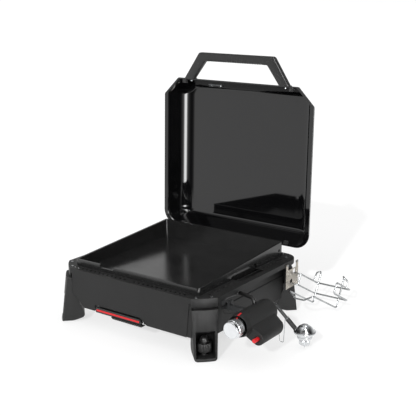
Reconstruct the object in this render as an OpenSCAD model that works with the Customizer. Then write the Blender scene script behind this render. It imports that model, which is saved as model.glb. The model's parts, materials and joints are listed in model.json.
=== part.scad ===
// Tabletop gas griddle with a hinged lid, plastic corner legs, a control pod
// on the right side and a wire cradle for a small gas cylinder behind it.
// Lengths are in millimetres. The griddle frame used below has x = 0 at the
// middle of the cooking plate, y = 0 at its front edge and z = 0 on the table.

/* [Cooking plate] */
// Width of the cooking plate over its skirt
plate_w = 450; // [420:1:456]
// Depth of the cooking plate over its skirt
plate_d = 433; // [400:1:450]
// Height of the cooking surface above the table
floor_z = 157; // [156:1:162]
// Thickness of the cooking sheet
floor_t = 3; // [2:0.5:4]
// Height of the front lip above the table
lip_z = 189; // [182:1:196]
// Height of the back wall above the table
back_z = 215; // [200:1:225]
// Thickness of the folded wall, inner sheet and skirt together
wall_t = 6; // [5:0.5:8]
// Thickness of each sheet of the folded wall
sheet_t = 2; // [1.5:0.1:2.2]
// Width of the grease slot in the cooking floor
grease_w = 53; // [30:1:70]
// Place of the grease slot's middle, left of the plate's middle
grease_x = 104; // [96:1:110]
// Diameter of the small holes along the skirt
skirt_hole_d = 4; // [2:0.5:6]

/* [Body] */
// Width of the painted body
body_w = 543; // [535:1:548]
// Distance from the body's front panel to the plate's front edge
front_margin = 30.5; // [28:0.5:34]
// Distance from the plate's back edge to the body's back panel
back_margin = 27; // [24:0.5:32]
// Height of the deck above the table
deck_z = 170; // [169:0.5:172]
// Thickness of the body sheet
body_t = 1.5; // [1:0.1:2]
// Height of the rim that hangs from the deck
rim_h = 15; // [10:0.5:20]
// Height of the front panel's lower edge above the table
panel_z = 56.6; // [52:0.5:60]
// Size of the cut front corners, along each side
corner_c = 50.6; // [46:0.2:54]
// Bulge of the cut front corners
corner_bulge = 4; // [3:0.5:5]
// Radius of the rear corners
rear_r = 50; // [42:1:56]
// Distance between the deck's vent slots
vent_pitch = 16; // [13:0.5:17]
// Length of the vent slots
vent_l = 8; // [5:0.5:10]
// Width of the vent slots
vent_w = 5.5; // [3:0.5:8]

/* [Legs] */
// Height of each leg above the table
leg_h = 140; // [136:1:141]
// Wall thickness of the legs
leg_t = 3.5; // [3:0.5:4]
// Width of the window in a leg
window_w = 53; // [50:1:54]
// Height of the window's top above the table
window_z = 82; // [78:1:90]
// Thickness of the leg's floor
leg_floor = 8; // [7:0.5:9]
// Lean of the leg's outer face, in degrees
leg_lean = 7; // [5:0.5:8]

/* [Levelling feet] */
// Diameter of the knurled ring
ring_d = 43; // [38:1:44]
// Height of the ring's lower face above the table
ring_z = 20; // [19:0.5:22]
// Height of the knurled ring
ring_h = 24; // [20:1:26]
// Diameter of the dome on the ring
dome_d = 26; // [20:1:30]
// Diameter of the threaded stud
stud_d = 8; // [6:0.5:10]
// Diameter of the foot pad
pad_d = 26; // [22:1:28]

/* [Lid] */
// Width of the lid at its rim
lid_w = 556; // [550:1:564]
// Width of the flat flange along the lid's sides
flange_w = 10; // [6:1:14]
// Height of the lid
lid_h = 80; // [74:1:90]
// Thickness of the lid sheet
lid_t = 1.5; // [1:0.1:2]
// Radius of the lid's top edges at the sides
side_edge_r = 60; // [40:1:66]
// Slope of the walls over the lid's height
lid_taper = 30; // [26:1:34]
// Radius of the lid's top edges at the front and the rear
lid_edge_r = 18; // [12:1:22]
// Width of the rolled bead around the rim
bead_w = 3; // [2:0.5:4]
// Angle between the open lid and the table
open_angle = 91.4; // [90:0.1:96]

/* [Lid handle] */
// Width of the handle at its feet
handle_w = 390; // [370:1:404]
// Width of the handle's grip bar
grip_w = 277; // [250:1:300]
// Reach of the handle from the lid's front
handle_reach = 88; // [78:1:96]
// Width of the bar
bar_w = 27; // [24:1:32]
// Thickness of the bar
bar_t = 18; // [14:1:20]
// Distance between the serrations of the grip
serration_pitch = 10; // [9:0.5:14]

/* [Hinges] */
// Distance of each hinge from the middle
hinge_x = 150; // [130:1:180]
// Distance of the hinge pin behind the body
hinge_back = 23; // [21:0.5:26]
// Diameter of the hinge pin
pin_d = 6; // [5:0.5:7]
// Radius of the hinge knuckles
knuckle_r = 7; // [6:0.5:7.5]

/* [Control pod] */
// Place of the pod's axis, right of the plate's middle
pod_x = 350; // [347:1:354]
// Height of the pod's axis above the table
pod_z = 112.7; // [110:0.1:115]
// Radius of the pod's barrel
pod_r = 33; // [32:0.5:34]
// Radius of the igniter's lobe
lobe_r = 18; // [17:0.5:19]
// Diameter of the knob
knob_d = 50; // [46:1:53]
// Reach of the knob in front of the bezel
knob_l = 35; // [28:1:38]
// Distance the knob is pushed in to turn it
knob_push = 3; // [2:0.5:4]
// Diameter of the igniter button
button_d = 11; // [9:0.5:13]
// Travel of the igniter button
button_travel = 5; // [3:0.5:6]

/* [Grease tray] */
// Width of the grease tray's front
tray_w = 168; // [160:1:172]
// Place of the tray's middle, left of the plate's middle
tray_x = 36; // [34:1:38]
// Depth of the tray
tray_d = 68; // [60:1:70]
// Height of the tray's walls
tray_h = 14; // [12:0.5:15]

/* [Gas fittings] */
// Outer diameter of the feed pipe
pipe_d = 9.5; // [8:0.5:11]
// Outer diameter of the regulator's dome
dome_rim_d = 62; // [58:1:66]
// Diameter of the regulator's body
reg_d = 43; // [40:1:46]
// Diameter of the regulator's nut
nut_d = 31.5; // [30:0.5:34]
// Bore of the nut, for a 1 inch thread
nut_bore_d = 25.4; // [25:0.1:25.8]
// Outer diameter of the bent gas tube under the deck, with its sleeve
tube_d = 11; // [9:0.5:12]

/* [Cylinder cradle] */
// Distance between the cradle's side rails, wire to wire
cradle_w = 115; // [110:1:120]
// Length of the side rails
cradle_l = 119; // [110:1:126]
// Tilt of the cradle's base from upright
cradle_tilt = 29; // [26:1:32]
// Distance between the upper and lower rails
rail_gap = 33.5; // [30:0.5:36]
// Diameter of the cradle wire
wire_d = 5; // [4:0.5:5.5]
// Reach of the cradle's floor rods under the cylinder
floor_rod_l = 168; // [150:1:175]
// Diameter of the match holder's wire
match_wire_d = 2; // [1.6:0.2:2.6]

/* [Hidden] */
$fn = 96;

// Clearances
fit_gap = 0.3;
run_gap = 0.05;

// Plate
half_plate = plate_w / 2;
pan_in = wall_t - sheet_t;
pan_z = floor_z - floor_t;
pan_half = half_plate - pan_in;
lift_hole_y = plate_d - 21;
lift_hole_z = deck_z + 20.5;
tab_y0 = 150;
tab_y1 = 290;
vent_first_y = 27;
vent_second_y = 300;
side_vents = 7;

// Body
front_y = -front_margin;
back_y = plate_d + back_margin;
half_body = body_w / 2;
bulge_chord = corner_c * sqrt(2);
bulge_r = (bulge_chord * bulge_chord / 4 + corner_bulge * corner_bulge) / (2 * corner_bulge);
bulge_in = (bulge_r - corner_bulge) / sqrt(2);
deck_under = deck_z - body_t;
rim_z = deck_z - rim_h;
band_z = leg_h + 3;
open_gap = 1.2;
panel_half = half_body - corner_c - 7;
panel_slant = 9;
front_vents_left = 13;
front_vents_right = 12;
front_vent_y = -14.5;
recess_x0 = -tray_x - tray_w / 2 - 7;
recess_x1 = -tray_x + tray_w / 2 + 18.6;
recess_top = panel_z + 18;
hand_x1 = half_plate + 30;

// Legs: each has its own frame, u along the cut corner, w inwards, z up
leg_mid_x = half_body - corner_c / 2;
leg_mid_y = front_y + corner_c / 2;
rear_leg_x = leg_mid_x - 9.2;
rear_leg_y = back_y - corner_c / 2 + 6.3;
tongue_u = [21, 21, 17, 17];
leg_half = bulge_chord / 2 + 0.6;
leg_half_low = leg_half - 5;
leg_face_w = -11.3;
leg_foot_w = leg_face_w - leg_h * tan(leg_lean);
leg_in = 14;
leg_face_r = 162;
toe_c = [26.5, 22];
toe_r = 12;
knee_z = 86;
knob_w = 4.5;
foot_travel = 5;
thread_pitch = 1.25;
pad_h = 4;
pad_lift = 0.4;

// Lid
half_lid = lid_w / 2;
half_wall = half_lid - flange_w;
lid_y0 = front_y + 1.5;
lid_y1 = back_y + 1;
hinge_y = back_y + hinge_back;
hinge_z = deck_z - 8;
rim_plane = deck_z + fit_gap;
lid_top = rim_plane + lid_h;
bead_h = 4;
lid_corner = corner_c + 3.4;
wall_corner = lid_corner - 6;
lid_rear_r = 45;
wall_slope = atan(lid_taper / lid_h);
handle_z0 = rim_plane - 7;
handle_z1 = handle_z0 + bar_t;
handle_y0 = lid_y0 - bead_w - 0.4;
handle_y1 = lid_y0 - handle_reach;
badge_x = -106;
badge_rise = 50;
strap_t = 2;
strap_y0 = lid_y1 - lid_taper - 40;
hinge_half = 22;

// Pod
bezel_l = 15;
flange_y = 33;
lobe_x = pod_x + 51;
lobe_z = pod_z - 28;
lobe_y1 = 108;
pod_y1 = 150;
pod_t = 3;
arm_y0 = 73;
arm_y1 = 87;
arm_z0 = 117;
arm_z1 = 131;
tube_z = 145;
outlet_x = pod_x + 6;
outlet_z = pod_z + 12;
knob_r = knob_d / 2;
stem_r = 4;
collar_y = 24;

// Feed pipe and regulator
reg_x = 434.5;
reg_y = 207;
nut_z0 = 12.8;
nut_z1 = 27.4;
reg_body_z1 = 45;
dome_z0 = 45;
dome_z1 = 50;
dome_top_z = 69;
pipe_k = [outlet_x + 1, 172, outlet_z];
pipe_e = [reg_x - 22, reg_y - 13, dome_z1 + 5.5];

// Tub
tub_top_x = 236;
tub_low_x = 192;
tub_top_y0 = 18;
tub_low_y0 = 50;
tub_top_y1 = plate_d + 7;
tub_low_y1 = plate_d - 40;
tub_z0 = panel_z + 5;
tub_t = 1.2;
burner_z = 118;
burner_r = 11;
burner_y0 = 54;
burner_y1 = 310;
burner_x = 165;

// Cradle
wire_r = wire_d / 2;
bracket_x0 = half_body + 1;
bracket_t = 1.5;
bracket_x1 = bracket_x0 + bracket_t;
rail_n = [0, -cos(cradle_tilt), sin(cradle_tilt)];
rail_c = [0, -sin(cradle_tilt), -cos(cradle_tilt)];
hook_y = 426;
hook_z = 125.6;
rail_x = 294.6;

// Origin: the middle of the whole object's box, on the table
foot_reach = (leg_half_low - leg_foot_w - 2.8) / sqrt(2);
object_x0 = -max(leg_mid_x, rear_leg_x) - foot_reach;
object_x1 = reg_x + dome_rim_d / 2;
object_y0 = leg_mid_y - foot_reach;
edge_y = lid_y0 + lid_taper + lid_edge_r * tan(45 - wall_slope / 2);
open_top_y = hinge_y + (lid_top - lid_edge_r - hinge_z) * sin(open_angle)
    + (edge_y - hinge_y) * cos(open_angle) + lid_edge_r;
origin_x = (object_x0 + object_x1) / 2;
origin_y = (object_y0 + open_top_y) / 2;

// Helpers
function unit(v) = v / norm(v);
function turn_of(a, b) = acos(min(1, max(-1, a * b)));

module place() {
    translate([-origin_x, -origin_y, 0]) children();
}

// Draws a profile of X and Z between two values of Y
module along_y(y0, y1) {
    translate([0, y1, 0]) rotate([90, 0, 0]) linear_extrude(y1 - y0) children();
}

// Draws a profile of Y and Z between two values of X
module along_x(x0, x1) {
    translate([x0, 0, 0]) rotate([90, 0, 90]) linear_extrude(x1 - x0) children();
}

module rod_y(x, z, r, y0, y1) {
    translate([x, y0, z]) rotate([-90, 0, 0]) cylinder(r = r, h = y1 - y0);
}

module rod_x(y, z, r, x0, x1) {
    translate([x0, y, z]) rotate([0, 90, 0]) cylinder(r = r, h = x1 - x0);
}

module box(x0, x1, y0, y1, z0, z1) {
    translate([x0, y0, z0]) cube([x1 - x0, y1 - y0, z1 - z0]);
}

module both_sides() {
    children();
    mirror([1, 0, 0]) children();
}

// What comes off the corner at v, between its neighbours a and b, to round it
module corner_off(v, a, b, r) {
    da = unit(a - v);
    db = unit(b - v);
    half = turn_of(da, db) / 2;
    c = v + unit(da + db) * (r / sin(half));
    ta = v + da * (r / tan(half));
    tb = v + db * (r / tan(half));
    difference() {
        polygon([c, c + (ta - c) * 1.2, c + (v - c) * 1.2, c + (tb - c) * 1.2]);
        translate(c) circle(r);
    }
}

// A polygon with round outer corners; a radius of 0 leaves a corner sharp
module rounded_poly(pts, radii) {
    n = len(pts);
    difference() {
        polygon(pts);
        for (i = [0 : n - 1])
            if (radii[i] > 0)
                corner_off(pts[i], pts[(i + n - 1) % n], pts[(i + 1) % n], radii[i]);
    }
}

module rounded_rect(x0, x1, y0, y1, r) {
    rounded_poly([[x0, y0], [x1, y0], [x1, y1], [x0, y1]], [r, r, r, r]);
}

// A rod between two points
module rod(a, b, r) {
    d = unit(b - a);
    az = atan2(d[1], d[0]);
    translate(a) rotate([0, acos(d[2]), az]) cylinder(r = r, h = norm(b - a));
}

// The bend of a wire at p, between the directions da and db
module bend(p, da, db, r, b) {
    t = turn_of(da, db);
    n = unit(cross(da, db));
    s = unit(cross(n, da));
    c = p - da * (b * tan(t / 2)) + s * b;
    multmatrix([[-s[0], da[0], n[0], c[0]], [-s[1], da[1], n[1], c[1]], [-s[2], da[2], n[2], c[2]], [0, 0, 0, 1]])
        rotate_extrude(angle = t) translate([b, 0]) circle(r, $fn = 48);
}

// A wire of radius r through the points p, with bends of radius b; the straight
// parts reach a little into the bends
module wire(p, r, b) {
    n = len(p);
    overlap = 0.3;
    dirs = [for (i = [0 : n - 2]) unit(p[i + 1] - p[i])];
    trim = [for (i = [0 : n - 1]) (i == 0 || i == n - 1) ? 0 : b * tan(turn_of(dirs[i - 1], dirs[i]) / 2)];
    for (i = [0 : n - 2]) {
        start = trim[i] - (i == 0 ? 0 : overlap);
        stop = trim[i + 1] - (i == n - 2 ? 0 : overlap);
        rod(p[i] + dirs[i] * start, p[i + 1] - dirs[i] * stop, r, $fn = 48);
    }
    for (i = [1 : n - 2])
        bend(p[i], dirs[i - 1], dirs[i], r - 0.03, b);
}

// Plan of the body, drawn in from its outer face by an inset
module body_outline(inset = 0) {
    difference() {
        translate([-half_body + inset, front_y + inset])
            square([body_w - 2 * inset, back_y - front_y - 2 * inset]);
        for (s = [0, 1]) mirror([s, 0]) {
            difference() {
                translate([half_body - corner_c - inset, front_y - 1]) square(corner_c + 1 + inset);
                translate([half_body - corner_c / 2 - bulge_in, front_y + corner_c / 2 + bulge_in])
                    circle(bulge_r - inset, $fn = 360);
            }
            difference() {
                translate([half_body - rear_r, back_y - rear_r]) square(rear_r + 1);
                translate([half_body - rear_r, back_y - rear_r]) circle(rear_r - inset);
            }
        }
    }
}

module body_ring(z0, z1, t) {
    translate([0, 0, z0]) linear_extrude(z1 - z0) difference() {
        body_outline();
        body_outline(t);
    }
}

module vent_row(count, x, y, dx, dy, lx, ly) {
    for (i = [0 : count - 1])
        translate([x + dx * vent_pitch * i - lx / 2, y + dy * vent_pitch * i - ly / 2, deck_under - 1])
            cube([lx, ly, body_t + 2]);
}

module front_panel_2d() {
    low = panel_half - panel_slant;
    difference() {
        polygon([[-low + 36, panel_z], [low, panel_z], [panel_half, rim_z + 1], [-panel_half, rim_z + 1],
            [-panel_half, panel_z + 34], [-low, panel_z + 30]]);
        polygon([[recess_x0, panel_z - 10], [recess_x1, panel_z - 10], [recess_x1, panel_z],
            [recess_x1 - 19, recess_top - 4], [recess_x1 - 27, recess_top], [recess_x0 + 2, recess_top],
            [recess_x0, recess_top - 2]]);
    }
}

module body_shell() {
    color("#3d3f40") {
        difference() {
            translate([0, 0, deck_under]) linear_extrude(body_t) difference() {
                body_outline();
                rounded_rect(-pan_half - open_gap, pan_half + open_gap, pan_in - open_gap,
                    plate_d - pan_in + open_gap, 8);
                for (s = [0, 1]) mirror([s, 0])
                    rounded_rect(pan_half - 20, hand_x1, tab_y0 + 14, tab_y1 - 8, 6);
            }
            vent_row(front_vents_left, -half_plate + 9, front_vent_y, 1, 0, vent_w, vent_l);
            vent_row(front_vents_right, 12, front_vent_y, 1, 0, vent_w, vent_l);
            both_sides() {
                vent_row(side_vents, half_plate + 16, vent_first_y, 0, 1, vent_l, vent_w);
                vent_row(side_vents, half_plate + 16, vent_second_y, 0, 1, vent_l, vent_w);
            }
            leg_screw_places() cylinder(r = 2.1, h = 40, $fn = 32);
        }
        body_ring(rim_z, deck_z, body_t);
        // The band over each front leg hangs lower than the rim
        both_sides() intersection() {
            body_ring(band_z, rim_z + 1, body_t);
            box(half_body - corner_c - 1, half_body + 1, front_y - 1, front_y + corner_c + 1, band_z, rim_z + 1);
        }
        along_y(front_y, front_y + body_t) front_panel_2d();
        // Side returns behind the front legs, and the low back panel
        both_sides() box(half_body - body_t, half_body, front_y + corner_c + 3.5, front_y + corner_c + 20,
            panel_z + 14, rim_z + 1);
        box(-half_body + rear_r + 20, half_body - rear_r - 20, back_y - body_t, back_y, panel_z + 24, rim_z + 1);
    }
}

// Tapered tub under the cooking plate
module tub_block(inset) {
    intersection() {
        along_y(-20, plate_d + 20) polygon([[-tub_low_x + inset, tub_z0], [tub_low_x - inset, tub_z0],
            [tub_top_x - inset, deck_under], [-tub_top_x + inset, deck_under]]);
        along_x(-half_body, half_body) polygon([[tub_low_y0 + inset, tub_z0], [tub_low_y1 - inset, tub_z0],
            [tub_top_y1 - inset, deck_under], [tub_top_y0 + inset, deck_under]]);
    }
}

module burner_tub() {
    color("#4c4f50") difference() {
        tub_block(0);
        difference() {
            tub_block(tub_t);
            box(-300, 300, -20, plate_d + 20, tub_z0 - 1, tub_z0 + tub_t);
        }
        for (x = [-120, 0, 120], y = [100, 215, 330])
            translate([x, y, tub_z0 - 1]) cylinder(d = 20, h = 4, $fn = 64);
        // Air inlet around the burner's throat
        rod_x(burner_y0, burner_z, 14, burner_x + 20, 260);
        // Room for the front of the pan and for the rear legs' tongues
        box(-300, 300, -20, 60, pan_z - 0.5, deck_z);
        for (i = [2, 3]) at_leg(i) box(-40, 40, -40, 15, leg_h - 8, deck_z);
    }
}

module heat_shield() {
    color("#8e9192") {
        difference() {
            box(-170, 170, 66, 350, tub_z0 + 14, tub_z0 + 15);
            for (x = [-60, 60]) box(x - 30, x + 30, 190, 240, tub_z0 + 13, tub_z0 + 16);
        }
        for (x = [-160, 160], y = [76, 340])
            translate([x, y, tub_z0 + tub_t]) cylinder(r = 5, h = 13, $fn = 48);
    }
}

// U-shaped burner tube with rows of ports along its top
module burner() {
    color("#9a9c9c") difference() {
        union() {
            wire([[burner_x + 52, burner_y0, burner_z], [-burner_x, burner_y0, burner_z],
                [-burner_x, burner_y1, burner_z], [burner_x, burner_y1, burner_z]], burner_r, 40);
            rod_x(burner_y0, burner_z, burner_r + 2, burner_x + 40, burner_x + 52);
        }
        rod_x(burner_y0, burner_z, burner_r - 1.5, burner_x + 30, burner_x + 53);
        for (y = [burner_y0, burner_y1], x = [-110 : 20 : 130])
            box(x - 4, x + 4, y - 1, y + 1, burner_z + burner_r - 3, burner_z + burner_r + 1);
    }
}

module burner_brackets() {
    color("#9a9c9c") for (x = [-90, 130], y = [burner_y0, burner_y1])
        difference() {
            union() {
                box(x - 8, x + 8, y, y + 26, tub_z0 + 15, tub_z0 + 17);
                box(x - 1, x + 1, y - 2, y + 14, tub_z0 + 15, burner_z);
            }
            rod_x(y, burner_z, burner_r, x - 3, x + 3);
        }
}

// Gas block under the deck, with the jet that blows into the burner's throat
module gas_manifold() {
    color("#34383a") {
        box(255.5, half_body - body_t - 0.3, 34, 60, 137, rim_z - 2);
        box(246, 256, 46, 60, burner_z - 7, rim_z - 2);
        box(246, 256, 46, 56, rim_z - 3, deck_under);
        rod_x(burner_y0, burner_z, 5, burner_x + 42, 247);
    }
}

module electrode() {
    ey = burner_y0 + 40;
    ez = burner_z - burner_r - 3;
    color("#e9e6dc") {
        rod_y(70, ez, 4, ey - 22, ey);
        wire([[70, ey - 21, ez], [70, burner_y0 + 3, ez], [70, burner_y0 + 3, ez + 1.5]], 1.2, 1.3);
        box(64, 76, ey - 6, ey - 2, tub_z0 + 15, ez + 1);
    }
}

// Channels that carry the grease tray's flanges
module tray_runners() {
    tx = -tray_x;
    half = tray_w / 2 - 8;
    top = panel_z + 14.5;
    color("#6d7071") for (s = [-1, 1]) {
        x = tx + s * (half + 5);
        difference() {
            box(x - 6, x + 6, front_y + body_t + 3, tub_low_y0 - 12, top - 8, top + 3);
            box(min(x - s * 7, x + s * 3), max(x - s * 7, x + s * 3), front_y, tub_low_y0, top - 3.8, top + 1.2);
            box(min(x - s * 7, x - s * 1.3), max(x - s * 7, x - s * 1.3), front_y, tub_low_y0, top - 9, top + 4);
        }
        box(x - 6, x + 6, front_y + body_t, front_y + body_t + 3, recess_top + 1, top + 30);
        box(x - 6, x + 6, front_y + body_t + 3, front_y + body_t + 6, top, top + 30);
    }
}

module plate_outline(inset, r) {
    rounded_rect(-half_plate + inset, half_plate - inset, inset, plate_d - inset, r);
}

// Wall height over the table falls towards the front
module wall_prism(drop, z0) {
    along_x(-half_plate - 1, half_plate + 1)
        polygon([[-1, z0], [plate_d + 1, z0], [plate_d + 1, back_z - drop], [-1, lip_z - drop]]);
}

module griddle_plate() {
    chute_x0 = -grease_x - grease_w / 2;
    chute_x1 = -grease_x + grease_w / 2;
    color("#2b2b2b") difference() {
        union() {
            // Cooking floor and inner wall
            intersection() {
                difference() {
                    translate([0, 0, pan_z]) linear_extrude(100) plate_outline(pan_in, 6);
                    translate([0, 0, floor_z]) linear_extrude(100) plate_outline(wall_t, 4);
                }
                wall_prism(0, pan_z - 1);
            }
            // Skirt that stands on the deck
            intersection() {
                translate([0, 0, deck_z]) linear_extrude(80) difference() {
                    plate_outline(0, 8);
                    plate_outline(sheet_t, 6);
                }
                wall_prism(0, deck_z - 1);
            }
            // Fold that joins them
            intersection() {
                translate([0, 0, deck_z]) linear_extrude(80) difference() {
                    plate_outline(0, 8);
                    plate_outline(pan_in + 1, 5);
                }
                difference() {
                    wall_prism(0, deck_z);
                    wall_prism(sheet_t, deck_z - 1);
                }
            }
            // Grease chute
            difference() {
                box(chute_x0 - 1.5, chute_x1 + 1.5, wall_t, wall_t + 10.5, panel_z + 22, pan_z + 1);
                box(chute_x0, chute_x1, wall_t + 1.5, wall_t + 9, panel_z + 21, pan_z + 2);
            }
        }
        box(chute_x0, chute_x1, wall_t + 1.5, wall_t + 9, pan_z - 1, floor_z + 1);
        // Notch in the front lip
        along_y(-2, wall_t + 2) rounded_poly([[chute_x0, lip_z + 5], [chute_x0, lip_z - 9], [chute_x1, lip_z - 9],
            [chute_x1, lip_z + 5]], [0, 5, 5, 0]);
        // Finger scallops, lift holes and skirt holes
        both_sides() {
            along_x(half_plate - sheet_t - 1, half_plate + 1)
                rounded_poly([[tab_y0, deck_z - 2], [tab_y1, deck_z - 2], [tab_y1 - 8, deck_z + 16],
                    [tab_y0 + 8, deck_z + 16]], [0, 0, 7, 7]);
            rod_x(lift_hole_y, lift_hole_z, 4.5, half_plate - sheet_t - 1, half_plate + 1);
            for (i = [0 : 6])
                rod_x(20 + 16 * i, deck_z + 10, skirt_hole_d / 2, half_plate - sheet_t - 1, half_plate + 1, $fn = 32);
            for (i = [0 : 4])
                rod_x(306 + 16 * i, deck_z + 10, skirt_hole_d / 2, half_plate - sheet_t - 1, half_plate + 1, $fn = 32);
        }
    }
}

module grease_tray() {
    tx = -tray_x;
    half = tray_w / 2 - 8;
    z1 = panel_z + 12.5;
    y0 = front_y + 4;
    color("#8b8f90") {
        difference() {
            box(tx - half, tx + half, y0, y0 + tray_d, z1 - tray_h, z1);
            box(tx - half + 1.2, tx + half - 1.2, y0 + 1.2, y0 + tray_d - 1.2, z1 - tray_h + 1.2, z1 + 1);
        }
        for (s = [-1, 1])
            box(tx + s * half - (s < 0 ? 5 : 0), tx + s * half + (s > 0 ? 5 : 0), y0, y0 + tray_d - 1, z1 - 1.2, z1);
    }
}

// Front of the tray: a bar with a ribbed finger grip under it
module tray_handle() {
    tx = -tray_x;
    x0 = tx - tray_w / 2;
    x1 = tx + tray_w / 2;
    z0 = panel_z - 0.5;
    color("#1f1f1f") {
        difference() {
            along_y(front_y - 4, front_y + 4) rounded_poly([[x0, z0], [x1, z0], [x1 + 4, z0 + 6], [x1 - 5, z0 + 15],
                [x0, z0 + 15]], [2, 2, 0, 3, 3]);
            box(x0 + 4, x1 - 5, front_y - 5, front_y - 2.5, z0 + 4.5, z0 + 10);
        }
        difference() {
            along_y(front_y - 8, front_y + 3) rounded_poly([[tx - 22, z0], [tx - 15, z0 - 5], [x1 + 6, z0 - 5],
                [x1 + 13, z0]], [0, 4, 4, 0]);
            for (x = [tx - 12 : 8 : x1 + 4])
                box(x, x + 2.5, front_y - 9, front_y - 6.5, z0 - 6, z0 + 1);
        }
    }
}

module tray_stripe() {
    tx = -tray_x;
    z0 = panel_z - 0.5;
    color("#d8282d")
        box(tx - tray_w / 2 + 4, tx + tray_w / 2 - 5, front_y - 4.6, front_y - 2.5, z0 + 4.5, z0 + 10);
}

// Leg
module leg_profile(t) {
    knee = [leg_in - t, knee_z];
    heel = [-1, 0];
    r = toe_r - t;
    dk = norm(knee - toe_c);
    tk = unit(knee - toe_c);
    ak = atan2(tk[1], tk[0]) - acos(r / dk);
    pk = toe_c + r * [cos(ak), sin(ak)];
    dh = norm(heel - toe_c);
    th = unit(heel - toe_c);
    ah = atan2(th[1], th[0]) + acos(r / dh);
    ph = toe_c + r * [cos(ah), sin(ah)];
    polygon([[-60, 0], heel, ph, toe_c, pk, knee, [leg_in - t, leg_h], [-60, leg_h]]);
    translate(toe_c) circle(r);
}

module leg(tongue) {
    difference() {
        intersection() {
            translate([-leg_half - 1, 0, 0]) rotate([90, 0, 90]) linear_extrude(2 * leg_half + 2) leg_profile(0);
            translate([0, 60, 0]) rotate([90, 0, 0]) linear_extrude(140)
                rounded_poly([[-leg_half_low, 0], [leg_half_low, 0], [leg_half, leg_h], [-leg_half, leg_h]],
                    [9, 9, 2, 2]);
            // Outer face: part of a large leaning cylinder
            translate([0, leg_foot_w + leg_face_r, 0]) rotate([-leg_lean, 0, 0])
                translate([0, 0, -40]) cylinder(r = leg_face_r, h = 240, $fn = 360);
        }
        // Window and the room behind it for the knob
        intersection() {
            box(-window_w / 2, window_w / 2, -60, 60, leg_floor, window_z);
            translate([-40, 0, 0]) rotate([90, 0, 90]) linear_extrude(80) leg_profile(leg_t);
        }
        // Pockets in the back of the upper half
        for (s = [-1, 1])
            box(s * 17 - 14, s * 17 + 14, -1, leg_in + 1, window_z + leg_t, leg_h - 4);
        // Room for the foot pad and the stud
        translate([0, knob_w, -1]) cylinder(d = pad_d + 1, h = 1 + pad_lift + pad_h + 0.2);
        translate([0, knob_w, -1]) cylinder(r = stud_d / 2 + run_gap, h = 20, $fn = 64);
    }
    // Threaded boss
    difference() {
        translate([0, knob_w, leg_floor]) cylinder(r = stud_d / 2 + 4, h = 5.5, $fn = 64);
        translate([0, knob_w, 0]) cylinder(r = stud_d / 2 + run_gap, h = 20, $fn = 64);
    }
    // Tongues that reach up behind the band to the deck
    for (s = [-1, 1])
        difference() {
            box(s * tongue - 7, s * tongue + 7, 3, leg_in - 1, leg_h - 4, deck_under);
            translate([s * tongue, 8, leg_h + 10]) cylinder(r = 2.05, h = 40, $fn = 32);
        }
}

module at_leg(i) {
    if (i == 0) translate([leg_mid_x, leg_mid_y, 0]) rotate([0, 0, 45]) children();
    if (i == 1) mirror([1, 0, 0]) translate([leg_mid_x, leg_mid_y, 0]) rotate([0, 0, 45]) children();
    if (i == 2) translate([rear_leg_x, rear_leg_y, 0]) rotate([0, 0, 135]) children();
    if (i == 3) mirror([1, 0, 0]) translate([rear_leg_x, rear_leg_y, 0]) rotate([0, 0, 135]) children();
}

module leg_at(i) {
    color("#333434") at_leg(i) leg(tongue_u[i]);
}

module leg_screw_places() {
    for (i = [0 : 3]) at_leg(i) for (s = [-1, 1])
        translate([s * tongue_u[i], 8, leg_h + 12]) children();
}

module leg_screws() {
    color("#c9cbcc") leg_screw_places() {
        cylinder(r = 2, h = deck_z - leg_h - 11, $fn = 32);
        translate([0, 0, deck_z - leg_h - 12]) cylinder(r = 3.6, h = 1.6, $fn = 48);
    }
}

// Fluted knob and its threaded stud, in one piece
module level_knob(i) {
    dome_h = 18;
    color("#3a3b3b") at_leg(i) translate([0, knob_w, 0]) {
        difference() {
            translate([0, 0, ring_z]) cylinder(d = ring_d, h = ring_h);
            for (k = [0 : 23]) rotate([0, 0, k * 15 + 7.5])
                translate([ring_d / 2 + 1, 0, ring_z - 1]) cylinder(r = 2, h = ring_h + 2, $fn = 24);
        }
        translate([0, 0, ring_z + ring_h]) rotate_extrude() intersection() {
            union() {
                square([dome_d / 2, dome_h - dome_d / 2]);
                translate([0, dome_h - dome_d / 2]) circle(dome_d / 2);
            }
            square([dome_d, dome_h + 1]);
        }
        translate([0, 0, pad_lift + 1]) cylinder(d = stud_d, h = ring_z - pad_lift, $fn = 64);
    }
}

module foot_pad(i) {
    color("#242424") at_leg(i) translate([0, knob_w, pad_lift]) difference() {
        cylinder(d = pad_d, h = pad_h);
        translate([0, 0, 1]) cylinder(r = stud_d / 2 + run_gap, h = pad_h, $fn = 64);
    }
}

// Lid, drawn closed; children turn with it about the hinge
module opened() {
    translate([0, hinge_y, hinge_z]) rotate([-open_angle, 0, 0]) translate([0, -hinge_y, -hinge_z]) children();
}

module lid_side(inset, lift) {
    z0 = rim_plane - 1;
    z1 = lid_top - inset + lift;
    rounded_poly([[lid_y0 + inset - tan(wall_slope), z0], [lid_y1 - inset + tan(wall_slope), z0],
        [lid_y1 - lid_taper - inset, z1], [lid_y0 + lid_taper + inset, z1]],
        [0, 0, lid_edge_r - inset, lid_edge_r - inset]);
}

// Outline of the lid at a half width x, inset from its front and rear, with cut front corners
module lid_plan(x, inset, c = lid_corner, front_r = 30) {
    y0 = lid_y0 + inset;
    y1 = lid_y1 - inset;
    rounded_poly([[x - c, y0], [x, y0 + c], [x, y1], [-x, y1], [-x, y0 + c], [-x + c, y0]],
        [front_r, front_r, lid_rear_r - inset, lid_rear_r - inset, front_r, front_r]);
}

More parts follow.
